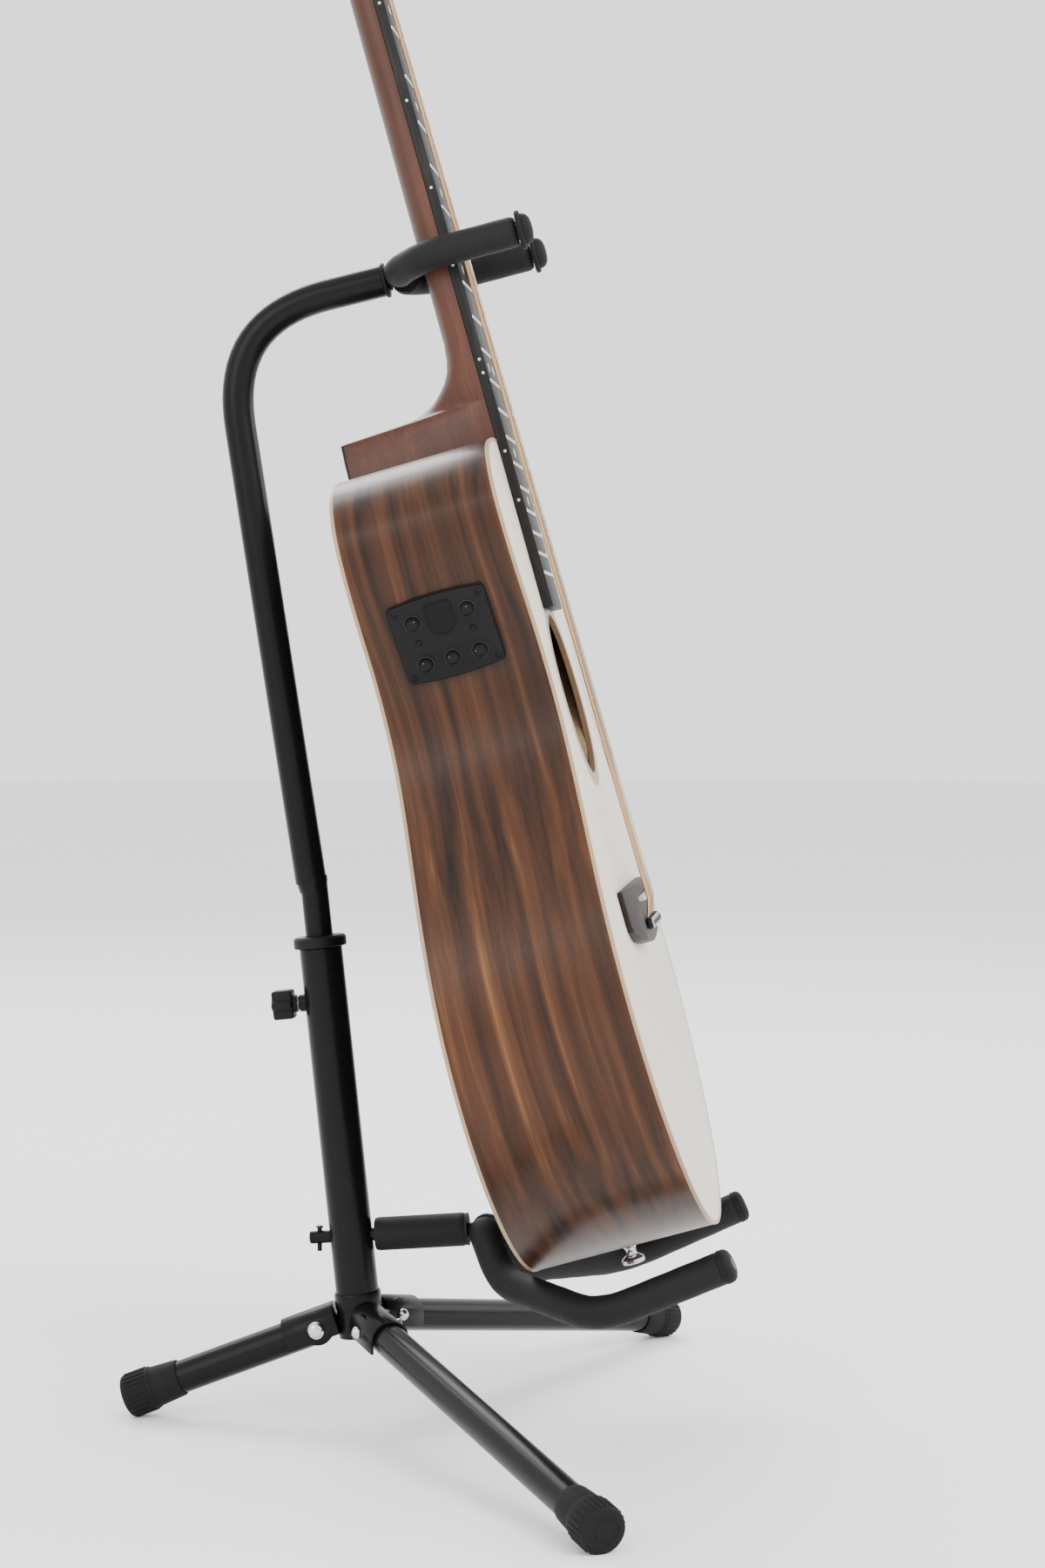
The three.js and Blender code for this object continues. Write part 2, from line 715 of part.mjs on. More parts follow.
function addBody() {
  const hole = new THREE.Path().absarc(0, -SOUNDHOLE_DOWN, SOUNDHOLE_R, 0, 2 * Math.PI, true);
  const topShape = bodyShape(0);
  topShape.holes.push(hole);
  const top = extruded(topShape, PLATE, 16).translate(0, 0, -PLATE);
  put(guitar, "soundboard", top, LOOK.spruce);

  const backPlate = extruded(bodyShape(0), PLATE)
    .rotateX(BACK_TAPER)
    .translate(0, 0, -DEPTH_AT_NECK);
  put(guitar, "back_plate", backPlate, LOOK.walnut);

  const wall = bodyShape(0);
  wall.holes.push(new THREE.Path(bodyPoints(SIDE_WALL)));
  const ring = extruded(wall, DEPTH_AT_TAIL).translate(0, 0, -DEPTH_AT_TAIL - PLATE - GAP);
  put(guitar, "sides", cut(ring, behindBack(GAP), preampOpening(), endPinBore()), LOOK.walnut);

  const under = -PLATE - GAP;
  const deep = -DEPTH_AT_TAIL;
  const inner = SIDE_WALL + GAP;
  const neckBlock = inBody([-32, -inner - 45, deep], [32, -inner, under]);
  put(guitar, "neck_block", neckBlock, LOOK.spruceInside);
  const inside = extruded(bodyShape(inner), DEPTH_AT_TAIL).translate(0, 0, -DEPTH_AT_TAIL);
  const tailEnd = -BODY_LENGTH;
  const tailBlock = inBody([-28, tailEnd, deep], [28, tailEnd + 25, under]);
  const fitted = cut(common(tailBlock, inside), endPinBore());
  put(guitar, "tail_block", fitted, LOOK.spruceInside);

  const braces = [1, -1].map((side) =>
    block([-150, -5, -14], [150, 5, 0])
      .rotateZ(side * rad(48))
      .translate(0, -SOUNDHOLE_DOWN - SOUNDHOLE_R - 32, under),
  );
  put(guitar, "top_brace", common(join(...braces), inside), LOOK.spruceInside);
}

// ---- preamp, let into the bass side near the upper bout ----
// Its frame: x across the body's depth towards the soundboard, y up the neck, z out of the side.
function preampFrame() {
  const points = bodyCurves(-1, 0)[1].getPoints(200);
  const at = (down) => points.find((p) => -p.y >= down);
  const top = at(PREAMP.down - PREAMP.tall / 2);
  const foot = at(PREAMP.down + PREAMP.tall / 2);
  const chord = top.clone().sub(foot).normalize();
  const up = new THREE.Vector3(chord.x, chord.y, 0);
  const across = new THREE.Vector3(0, 0, 1);
  const out = new THREE.Vector3().crossVectors(across, up);
  const matrix = new THREE.Matrix4().makeBasis(across, up, out);
  const middle = top.clone().add(foot).multiplyScalar(0.5);
  return matrix.setPosition(middle.x, middle.y, -PREAMP.depth);
}

function preampOpening() {
  const { across, tall, border, box } = PREAMP;
  const x = across / 2 - border + 1;
  const y = tall / 2 - border + 1;
  return block([-x, -y, -box], [x, y, box]).applyMatrix4(preampFrame());
}

function addPreamp() {
  const group = new THREE.Group();
  preampFrame().decompose(group.position, group.quaternion, group.scale);
  guitar.add(group);
  const { across, tall, plate, box, border } = PREAMP;
  const seat = 1.6; // clears the side's curve under the plate's edges
  const w = across / 2;
  const h = tall / 2;
  const face = new THREE.Shape();
  const corner = 3;
  const arch = 2.6;
  face.moveTo(-w + corner, -h);
  face.quadraticCurveTo(0, -h - arch, w - corner, -h);
  face.quadraticCurveTo(w, -h, w, -h + corner);
  face.lineTo(w, h - corner);
  face.quadraticCurveTo(w, h, w - corner, h);
  face.quadraticCurveTo(0, h + arch, -w + corner, h);
  face.quadraticCurveTo(-w, h, -w, h - corner);
  face.lineTo(-w, -h + corner);
  face.quadraticCurveTo(-w, -h, -w + corner, -h);
  const cover = extruded(face, plate, 4).translate(0, 0, seat);
  const housing = block([border - w, border - h, -box], [w - border, h - border, seat + 0.5]);
  const top = seat + plate;
  const pushes = pushPlaces().map(([x, y]) => {
    return disc(PUSH_D / 2 + 0.3, top - 2 * PUSH_TRAVEL, top + 1, 12).translate(x, y, 0);
  });
  put(group, "preamp_case", cut(join(cover, housing), ...pushes), LOOK.plastic);
  const lens = new THREE.Shape();
  const { across: wa, tall: wt } = WINDOW;
  lens.moveTo(-wa / 2, wt / 2);
  lens.lineTo(-wa / 2, -wt / 2 + 3);
  lens.quadraticCurveTo(0, -wt / 2 - 3, wa / 2, -wt / 2 + 3);
  lens.lineTo(wa / 2, wt / 2);
  const lensPlace = new THREE.Vector3(0, 11, top + GAP);
  put(group, "preamp_window", extruded(lens, 0.6, 6), LOOK.lens, lensPlace);
  controlPlaces().forEach(([x, y], i) => {
    const knob = turned(
      [
        [0, 0],
        [CONTROL_D / 2, 0],
        [CONTROL_D / 2 - 0.4, CONTROL_RISE - 0.5],
        [CONTROL_D / 2 - 1, CONTROL_RISE],
        [0, CONTROL_RISE],
      ],
      16,
    );
    put(group, `control_${i + 1}`, knob, LOOK.plastic, new THREE.Vector3(x, y, top + GAP));
  });
  pushPlaces().forEach(([x, y], i) => {
    const push = disc(PUSH_D / 2, top - PUSH_TRAVEL + 0.1, top + PUSH_RISE, 10);
    put(group, `push_button_${i + 1}`, push, LOOK.plastic, new THREE.Vector3(x, y, 0));
  });
}

function controlPlaces() {
  const { upper, lower } = PREAMP_ROWS;
  const c = PREAMP_COLUMN;
  return [[-c, upper], [c, upper], [-c, -lower], [0, -lower], [c, -lower]];
}

function pushPlaces() {
  return [[-PREAMP_COLUMN, 0], [PREAMP_COLUMN, 0]];
}

// ---- neck ----
// Distance of a fret above the body joint, which is at the fourteenth; fret 0 is the nut.
function fretPlace(fret) {
  return SCALE_LENGTH * (2 ** (-fret / 12) - 2 ** (-14 / 12));
}

const NUT_Y = fretPlace(0);

function boardWidth(y) {
  return NUT_WIDTH + ((BODY_WIDTH - NUT_WIDTH) * (NUT_Y - y)) / NUT_Y;
}

// A lofted solid through sections given as [y, half width, depth, power]: flat on top, with
// a power of 1 for an elliptical underside, more for a pointed one and less for a square one.
function loft(sections, sides = 12) {
  const positions = [];
  const ring = ([y, half, depth, power]) =>
    Array.from({ length: sides + 1 }, (_, i) => {
      const a = (Math.PI * i) / sides;
      const c = Math.cos(a);
      const x = half * Math.sign(c) * Math.abs(c) ** power;
      return [x, y, i % sides === 0 ? 0 : -depth * Math.sin(a) ** power];
    });
  const rings = sections.map(ring);
  const triangle = (a, b, c) => positions.push(...a, ...b, ...c);
  const cap = (r, turn) => {
    for (let i = 1; i < sides; i++) {
      const [b, c] = turn ? [r[i + 1], r[i]] : [r[i], r[i + 1]];
      triangle(r[0], b, c);
    }
  };
  rings.slice(1).forEach((next, j) => {
    const last = rings[j];
    for (let i = 0; i <= sides; i++) {
      const k = (i + 1) % (sides + 1);
      triangle(last[i], next[k], next[i]);
      triangle(last[i], last[k], next[k]);
    }
  });
  cap(rings[0], true);
  cap(rings.at(-1), false);
  const geometry = new THREE.BufferGeometry();
  geometry.setAttribute("position", new THREE.Float32BufferAttribute(positions, 3));
  return geometry;
}

// The headstock's frame: y along it, z out of its face, hinged back at the nut.
function headFrame() {
  const matrix = new THREE.Matrix4().makeRotationX(-rad(HEAD_ANGLE));
  return matrix.setPosition(0, NUT_Y + NUT_LENGTH + GAP, 0);
}

function headstock() {
  const start = NUT_WIDTH / 2;
  const wide = HEAD_HALF;
  const shape = new THREE.Shape();
  shape.moveTo(-start, -4);
  shape.lineTo(-start, 0);
  shape.quadraticCurveTo(-start - 2, 16, -wide + 2, 24);
  shape.lineTo(-wide - 2, HEAD_LENGTH - 10);
  shape.quadraticCurveTo(-wide / 2, HEAD_LENGTH - 1, 0, HEAD_LENGTH);
  shape.quadraticCurveTo(wide / 2, HEAD_LENGTH - 1, wide + 2, HEAD_LENGTH - 10);
  shape.lineTo(wide - 2, 24);
  shape.quadraticCurveTo(start + 2, 16, start, 0);
  shape.lineTo(start, -4);
  return extruded(shape, HEAD_THICK, 6).translate(0, 0, -HEAD_THICK).applyMatrix4(headFrame());
}

function addNeck() {
  const nut = NUT_WIDTH / 2;
  const wide = BODY_WIDTH / 2;
  const heel = HEEL_LENGTH;
  const tall = DEPTH_AT_NECK * 1.3; // cut off flat at the cap
  const sections = [
    [GAP, wide - 0.5, tall, 1.35],
    [heel * 0.5, wide - 0.6, tall, 1.5],
    [heel * 0.8, wide - 0.7, tall, 1.9],
    [heel * 0.95, wide - 0.7, tall, 2.6],
    [heel, wide - 0.7, DEPTH_AT_NECK, 3],
    [heel + 0.8, wide - 0.8, 60, 1.8],
    [heel + 4, wide - 0.8, 41, 1.3],
    [heel + 12, wide - 1, 28.5, 1],
    [heel + 23, wide - 1.1, 20, 0.85],
    [heel + 40, wide - 1.5, NECK_DEPTH, 0.82],
    [NUT_Y - 30, nut + 0.4, NECK_DEPTH - 2, 0.82],
    [NUT_Y + NUT_LENGTH - 4, nut, NECK_DEPTH - 2.5, 0.8],
    [NUT_Y + NUT_LENGTH + 4, nut - 0.5, NECK_DEPTH - 3, 0.75],
  ];
  const above = block([-60, NUT_Y - 60, 0], [60, NUT_Y + 90, 60]);
  const below = block([-60, -10, -200], [60, 60, HEEL_CAP - DEPTH_AT_NECK]);
  const bores = tunerPlaces().map(({ x, y }) =>
    disc(POST_D / 2 + RUNNING_GAP, -HEAD_THICK - 2, 2, 10)
      .translate(x, y, 0)
      .applyMatrix4(headFrame()),
  );
  const blank = join(loft(sections), headstock());
  put(guitar, "neck", cut(blank, above, below, ...bores), LOOK.mahogany);
}

function addFingerboard() {
  const top = fretPlace(0);
  const end = -BOARD_OVERHANG;
  const half = (y) => boardWidth(y) / 2;
  const plan = new THREE.Shape([
    new THREE.Vector2(-half(end), end),
    new THREE.Vector2(half(end), end),
    new THREE.Vector2(half(top), top),
    new THREE.Vector2(-half(top), top),
  ]);
  const board = extruded(plan, BOARD - GAP).translate(0, 0, GAP);
  const frets = Array.from({ length: FRETS }, (_, i) => {
    const y = fretPlace(i + 1);
    const w = half(y) - 0.4;
    const r = FRET_WIDTH / 2;
    return block([-w, y - r, BOARD - 0.5], [w, y + r, BOARD + FRET_HEIGHT]);
  });
  put(guitar, "fingerboard", join(board, ...frets), LOOK.ebony);
  const w = NUT_WIDTH / 2;
  const nut = block([-w, top + GAP, GAP], [w, top + NUT_LENGTH, BOARD + 1.8]);
  put(guitar, "nut", nut, LOOK.bone);
}

// ---- bridge and strings ----
const SADDLE_Y = NUT_Y - SCALE_LENGTH;
const PIN_Y = SADDLE_Y - PIN_DOWN;
const SADDLE_TOP = BRIDGE_HEIGHT + SADDLE_RISE;

function addBridge() {
  const front = SADDLE_Y + 9;
  const rear = front - BRIDGE_LENGTH;
  const plan = new THREE.Shape([
    new THREE.Vector2(-BRIDGE_HALF, front),
    new THREE.Vector2(-BRIDGE_HALF, front - 24),
    new THREE.Vector2(-BRIDGE_HALF + 18, rear),
    new THREE.Vector2(BRIDGE_HALF - 18, rear),
    new THREE.Vector2(BRIDGE_HALF, front - 24),
    new THREE.Vector2(BRIDGE_HALF, front),
  ]);
  const deck = extruded(plan, BRIDGE_HEIGHT - GAP).translate(0, 0, GAP);
  const long = STRING_SPREAD / 2 + 8;
  const half = SADDLE_THICK / 2;
  const slotHalf = half + GAP;
  const slot = block(
    [-long - GAP, SADDLE_Y - slotHalf, BRIDGE_HEIGHT - 3],
    [long + GAP, SADDLE_Y + slotHalf, BRIDGE_HEIGHT + 1],
  );
  const pins = STRING_D.map((_, i) =>
    disc(PIN_D / 2, BRIDGE_HEIGHT - 2, BRIDGE_HEIGHT + 6, 10)
      .translate(across(i, STRING_SPREAD), PIN_Y, 0),
  );
  put(guitar, "bridge", cut(join(deck, ...pins), slot), LOOK.rosewood);
  const bottom = BRIDGE_HEIGHT - 3 + GAP;
  const saddle = block([-long, SADDLE_Y - half, bottom], [long, SADDLE_Y + half, SADDLE_TOP]);
  put(guitar, "saddle", saddle, LOOK.bone);
}

// Where string i crosses, for a given spread between the outer two, bass side first.
function across(i, spread) {
  return -spread / 2 + (spread * i) / (STRING_D.length - 1);
}

function tunerPlaces() {
  const y = (n) => TUNER_FIRST + n * TUNER_STEP;
  const bass = [0, 1, 2].map((n) => ({ x: -POST_X, y: y(n) }));
  const treble = [2, 1, 0].map((n) => ({ x: POST_X, y: y(n) }));
  return [...bass, ...treble];
}

function addStrings() {
  const frame = headFrame();
  STRING_D.forEach((d, i) => {
    const r = d / 2;
    const lift = r + GAP;
    const { x, y } = tunerPlaces()[i];
    const tangent = x - Math.sign(x) * (POST_D / 2 + GAP + r);
    const x0 = across(i, STRING_SPREAD);
    const x1 = across(i, NUT_SPREAD);
    const points = [
      new THREE.Vector3(x0, PIN_Y + PIN_D / 2 + GAP + 0.6, BRIDGE_HEIGHT + lift + 0.4),
      new THREE.Vector3(x0, SADDLE_Y - SADDLE_THICK / 2, SADDLE_TOP + lift),
      new THREE.Vector3(x0, SADDLE_Y + SADDLE_THICK / 2, SADDLE_TOP + lift),
      new THREE.Vector3(x1, NUT_Y, BOARD + 1.8 + lift),
      new THREE.Vector3(x1, NUT_Y + NUT_LENGTH, BOARD + 1.8 + lift),
      new THREE.Vector3(tangent, y, POST_HEIGHT * 0.55).applyMatrix4(frame),
    ];
    put(guitar, `string_${6 - i}`, stringTube(points, r), LOOK.bronze);
  });
}

// A string as straight runs: hexagonal rings mitred at each point, closed at both ends.
function stringTube(points, r) {
  const sides = 6;
  const rings = points.map((p, k) => {
    const before = points[Math.max(k - 1, 0)];
    const after = points[Math.min(k + 1, points.length - 1)];
    const along = after.clone().sub(before).normalize();
    const side = new THREE.Vector3(1, 0, 0).addScaledVector(along, -along.x).normalize();
    const up = new THREE.Vector3().crossVectors(along, side);
    return Array.from({ length: sides }, (_, i) => {
      const a = (2 * Math.PI * i) / sides;
      return p
        .clone()
        .addScaledVector(side, r * Math.cos(a))
        .addScaledVector(up, r * Math.sin(a));
    });
  });
  const positions = [];
  const triangle = (...corners) => corners.forEach((c) => positions.push(c.x, c.y, c.z));
  rings.slice(1).forEach((next, k) => {
    const last = rings[k];
    for (let i = 0; i < sides; i++) {
      const j = (i + 1) % sides;
      triangle(last[i], last[j], next[j]);
      triangle(last[i], next[j], next[i]);
    }
  });
  for (let i = 1; i < sides - 1; i++) {
    const first = rings[0];
    const final = rings.at(-1);
    triangle(first[0], first[i + 1], first[i]);
    triangle(final[0], final[i], final[i + 1]);
  }
  const geometry = new THREE.BufferGeometry();
  return geometry.setAttribute("position", new THREE.Float32BufferAttribute(positions, 3));
}

// Each side's machine heads share one plate behind the headstock; posts stand through it.
function addTuners() {
  const group = new THREE.Group();
  headFrame().decompose(group.position, group.quaternion, group.scale);
  guitar.add(group);
  const back = -HEAD_THICK - GAP;
  const shaftZ = back - 5;
  const reach = HEAD_HALF + 2 + TUNER_BUTTON_OUT - POST_X;
  const shaft = (side, y, r, from, to) =>
    disc(r, from, to, 8)
      .rotateY((side * Math.PI) / 2)
      .translate(side * POST_X, y, shaftZ);
  const places = tunerPlaces();
  for (const side of [-1, 1]) {
    const own = places.filter((p) => Math.sign(p.x) === side);
    const ys = own.map((p) => p.y);
    const [low, high] = [Math.min(...ys) - 9, Math.max(...ys) + 9];
    const x = side * POST_X;
    const plate = block([x - 7, low, back - 1.4], [x + 7, high, back]);
    const pieces = own.flatMap(({ y }) => [
      block([x - 6, y - 8, shaftZ - 5], [x + 6, y + 8, back - 1]),
      disc(POST_D / 2, back - 1, POST_HEIGHT, 10).translate(x, y, 0),
    ]);
    const bores = own.map(({ y }) => shaft(side, y, TUNER_SHAFT_D / 2 + RUNNING_GAP, 0, 9));
    const name = side < 0 ? "tuner_plate_bass" : "tuner_plate_treble";
    put(group, name, cut(join(plate, ...pieces), ...bores), LOOK.chrome);
  }
  places.forEach(({ x, y }, i) => {
    const side = Math.sign(x);
    const button = new THREE.SphereGeometry(1, 12, 7)
      .scale(6.5, 9.5, 3.4)
      .translate(side * (POST_X + reach), y, shaftZ);
    const whole = join(shaft(side, y, TUNER_SHAFT_D / 2, GAP, reach), button);
    put(group, `tuner_button_${6 - i}`, whole, LOOK.chrome);
  });
}

function endPinBore() {
  return disc(4, -60, 60, 12).rotateX(Math.PI / 2).translate(0, -BODY_LENGTH, -END_PIN_DEPTH);
}

function addEndPin() {
  const pin = turned(
    [
      [0, -16],
      [3.2, -16],
      [3.2, GAP],
      [6, GAP],
      [5.2, 2],
      [3.5, 3],
      [3.5, 7],
      [7.2, 9.5],
      [7.2, 12],
      [4, 13],
      [0, 13.2],
    ],
    18,
  ).rotateX(Math.PI / 2);
  const place = new THREE.Vector3(0, -BODY_LENGTH, -END_PIN_DEPTH);
  put(guitar, "end_pin", pin, LOOK.chrome, place);
}

addMast();
addHub();
LEGS.forEach(addLeg);
addCollar();
addClampKnob();
addUpperTube();
addTubeBush();
addYoke();
addCradle();
addBody();
addPreamp();
addNeck();
addFingerboard();
addBridge();
addStrings();
addTuners();
addEndPin();

// The part's origin is the middle of its footprint box, on the floor.
root.updateMatrixWorld(true);
const box = new THREE.Box3().setFromObject(root, true);
const middle = box.getCenter(new THREE.Vector3());
const origin = new THREE.Vector3(middle.x, middle.y, box.min.z);
root.children.forEach((child) => child.position.sub(origin));

export default root;
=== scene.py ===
from math import atan, cos, pi, radians, sin, sqrt, tan

import bmesh
import bpy
from bpy.props import FloatProperty, FloatVectorProperty, PointerProperty
from mathutils import Matrix, Vector


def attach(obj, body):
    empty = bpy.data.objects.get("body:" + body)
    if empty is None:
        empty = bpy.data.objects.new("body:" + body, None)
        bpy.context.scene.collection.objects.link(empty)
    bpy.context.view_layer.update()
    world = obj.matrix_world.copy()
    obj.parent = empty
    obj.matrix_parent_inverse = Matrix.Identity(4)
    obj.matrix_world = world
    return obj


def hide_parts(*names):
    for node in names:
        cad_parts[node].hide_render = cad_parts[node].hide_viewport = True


bl_info = {
    "name": "Guitar on a stand",
    "version": (1, 0, 0),
    "blender": (4, 5, 0),
    "location": "View3D > Sidebar > Guitar",
    "description": "Builds an electro-acoustic guitar and the tripod stand that it leans on",
    "category": "Object",
}

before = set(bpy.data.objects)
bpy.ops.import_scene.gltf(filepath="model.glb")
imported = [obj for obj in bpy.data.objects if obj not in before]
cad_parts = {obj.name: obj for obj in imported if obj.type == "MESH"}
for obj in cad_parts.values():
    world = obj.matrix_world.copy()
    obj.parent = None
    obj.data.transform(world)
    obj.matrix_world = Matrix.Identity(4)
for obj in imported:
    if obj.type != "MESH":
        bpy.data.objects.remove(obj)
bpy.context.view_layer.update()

# Shapes are drawn in millimetres in the frame of their own piece, and settled in metres.
MM = 0.001
CLEAR = 0.3  # gap between pieces that fit together

# ---- frames: where each group of pieces stands ----


def standing(origin, across, up):
    """A frame with +X across and +Z up, drawn in millimetres."""
    z = Vector(up).normalized()
    x = Vector(across).normalized()
    y = z.cross(x).normalized()
    turn = Matrix((y.cross(z), y, z)).transposed().to_4x4()
    place = Matrix.Translation(Vector(origin) * MM) @ turn
    return place @ Matrix.Scale(MM, 4)


def turned_about(axis, degrees):
    return Matrix.Rotation(radians(degrees), 4, axis)


LEAN = 6.05  # of the mast, degrees
MAST_UP = (0, sin(radians(LEAN)), cos(radians(LEAN)))
GUITAR = standing((0, -44.44, 603.9), (1, 0, 0), (0, -0.96203, 0.27295))
SCALE_LENGTH = 650
NECK_FRET = 14  # where the neck meets the body, at Y = 0
NUT_Y = SCALE_LENGTH * (1 - 2 ** (-NECK_FRET / 12))
NUT_LENGTH = 5
HEAD_TILT = 14  # degrees
HEAD = GUITAR @ Matrix.Translation((0, NUT_Y + NUT_LENGTH + CLEAR, 0)) @ turned_about("X", -HEAD_TILT)
PREAMP = standing((-109.8, -25.0, 485.7), (0, -0.96203, 0.27295), (-0.9460, -0.0884, -0.3116))
TUBE_END = (0, 28.1, 703.77)
YOKE = standing(TUBE_END, (0.99863, -0.01266, -0.05078), (0, -0.970296, 0.241922))
BUSH = standing(TUBE_END, (1, 0, 0), (0, -0.97437, 0.22495))
WORLD = Matrix.Scale(MM, 4)
MAST_Y = 45.8565  # of the foot of the mast


def mast_point(z):
    return Vector((0, 45.86 + (z - 86.3) * tan(radians(LEAN)), z))


def on_mast(z):
    return standing(mast_point(z), (1, 0, 0), MAST_UP)


def ahead(x, forward, up):
    """A point so far ahead of the foot of the mast."""
    return Vector((x, MAST_Y - forward, up))


# ---- sizes of the guitar ----
BOUTS = ((124, 50), (100, 152), (176, 338))  # half width, distance down from the neck joint
BODY_LENGTH = 492.5
DEPTH_AT_NECK = 96
BACK_TAPER = atan((114.5 - DEPTH_AT_NECK) / BODY_LENGTH)
BACK_NORMAL = Vector((0, -sin(BACK_TAPER), cos(BACK_TAPER)))
PLATE = 3
HOLE = Vector((0, -159, 0))
HOLE_R = 50
RINGS_R = 59  # the outside of the rings round the hole
BOARD = 6.3
BOARD_END = -106
HEEL = 26.5
HEEL_FOOT = 1 - DEPTH_AT_NECK
HEEL_CAP = 1.6
SADDLE_Y = NUT_Y - SCALE_LENGTH
BRIDGE_HEIGHT = 8.4
PIN_Y = SADDLE_Y - 16
END_PIN = Matrix.Translation((0, -BODY_LENGTH, -58)) @ turned_about("X", 90)
GAUGES = (1.35, 1.1, 0.85, 0.8, 0.8, 0.8)  # bass to treble
WOUND = 4  # strings with a winding
HEAD_THICK = 15
NUT_SPREAD, BRIDGE_SPREAD = 36, 55  # from the first string to the sixth
TUNER_X, TUNER_ROWS = 23, (38, 78, 118)  # on the headstock

# ---- sizes of the stand ----
MAST_R = 13.25
MAST_FOOT, MAST_TOP, HUB_Z, CLAMP_Z = 74.8, 294.3, 61.3, 261.3
MAST_LENGTH = (MAST_TOP - MAST_FOOT) / cos(radians(LEAN))
SWAGE_Z = 336.3  # where the upper tube widens
ROD_R = 4
UPPER_R = 9.7
LEG_R = 10.2
PIVOT = 26  # from the mast's axis to a leg's pivot
SHEET = 1.6
BRACKET = LEG_R + 0.6 + SHEET  # half the width of a bracket over a leg
LEGS = {"rear": (90, 15), "left": (-149, 12.6), "right": (-31, 12.6)}  # heading and drop, degrees
LOBES = 6  # round the clamp knob
RIBS = 26  # round each rubber foot
YOKE_HALF, YOKE_LENGTH = 37, 90
SLIDE_ROOM = 0.5  # taken off the yoke's foam, so that it clears the neck as the height slides
CRADLE_Z, CRADLE_RISE = 115.8, 4.2  # where the cradle's rod crosses the mast, and its slope in degrees


def length_property(name, description, value, low, high):
    return FloatProperty(
        name=name, description=description, default=value, min=low, max=high,
        unit="LENGTH", subtype="DISTANCE")


class GuitarSizes(bpy.types.PropertyGroup):
    binding: length_property("Binding", "Height of the binding on the body's edges", 0.0022, 0.0005, 0.006)
    rosette: length_property("Rosette", "Width of the ring round the soundhole", 0.0078, 0.001, 0.02)
    fret_width: length_property("Fret width", "Width of a fret's crown", 0.0022, 0.001, 0.004)
    side_dot: length_property("Side dot", "Diameter of the dots on the board's edge", 0.0018, 0.001, 0.004)
    string_turns: FloatProperty(
        name="String turns", description="Turns of string round each post", default=3, min=1, max=6)


class StandSizes(bpy.types.PropertyGroup):
    foam: length_property("Foam", "Diameter of the foam sleeves", 0.0196, 0.012, 0.03)
    cap: length_property("Cap", "Diameter of the rubber caps on the yoke's arms", 0.0236, 0.015, 0.035)
    foot: length_property("Foot", "Diameter of the rubber feet", 0.0276, 0.02, 0.04)


def colour_property(name, description, value):
    return FloatVectorProperty(
        name=name, description=description, default=value, min=0, max=1, size=3, subtype="COLOR")


class FinishColours(bpy.types.PropertyGroup):
    veneer: colour_property("Veneer", "Middle colour of the sides and back", (0.040, 0.0140, 0.0050))
    veneer_dark: colour_property("Veneer streaks", "Dark streaks in the veneer", (0.005, 0.0022, 0.0014))
    spruce: colour_property("Spruce", "Colour of the soundboard", (0.62, 0.56, 0.46))
    mahogany: colour_property("Mahogany", "Colour of the neck", (0.062, 0.0195, 0.0095))
    binding: colour_property("Binding", "Colour of the body's binding", (0.36, 0.235, 0.135))
    steel: colour_property("Powder coat", "Colour of the stand's tubes", (0.0035, 0.0035, 0.0038))
    foam: colour_property("Foam", "Colour of the foam sleeves", (0.0045, 0.0045, 0.0048))


# ---- shader maths ----


class Strand:
    """A shader socket that takes part in sums."""

    def __init__(self, finish, socket):
        self.finish = finish
        self.socket = socket

    def maths(self, operation, first, second):
        return self.finish.node("ShaderNodeMath", {"operation": operation}, {0: first, 1: second})

    def __add__(self, other):
        return self.maths("ADD", self, other)

    def __sub__(self, other):
        return self.maths("SUBTRACT", self, other)

    def __rsub__(self, other):
        return self.maths("SUBTRACT", other, self)

    def __mul__(self, other):
        return self.maths("MULTIPLY", self, other)

    __radd__ = __add__
    __rmul__ = __mul__

    def between(self, low, high):
        """0 below low, 1 above high, smooth between."""
        inputs = {"Value": self, "From Min": low, "From Max": high}
        settings = {"interpolation_type": "SMOOTHSTEP", "clamp": True}
        return self.finish.node("ShaderNodeMapRange", settings, inputs)


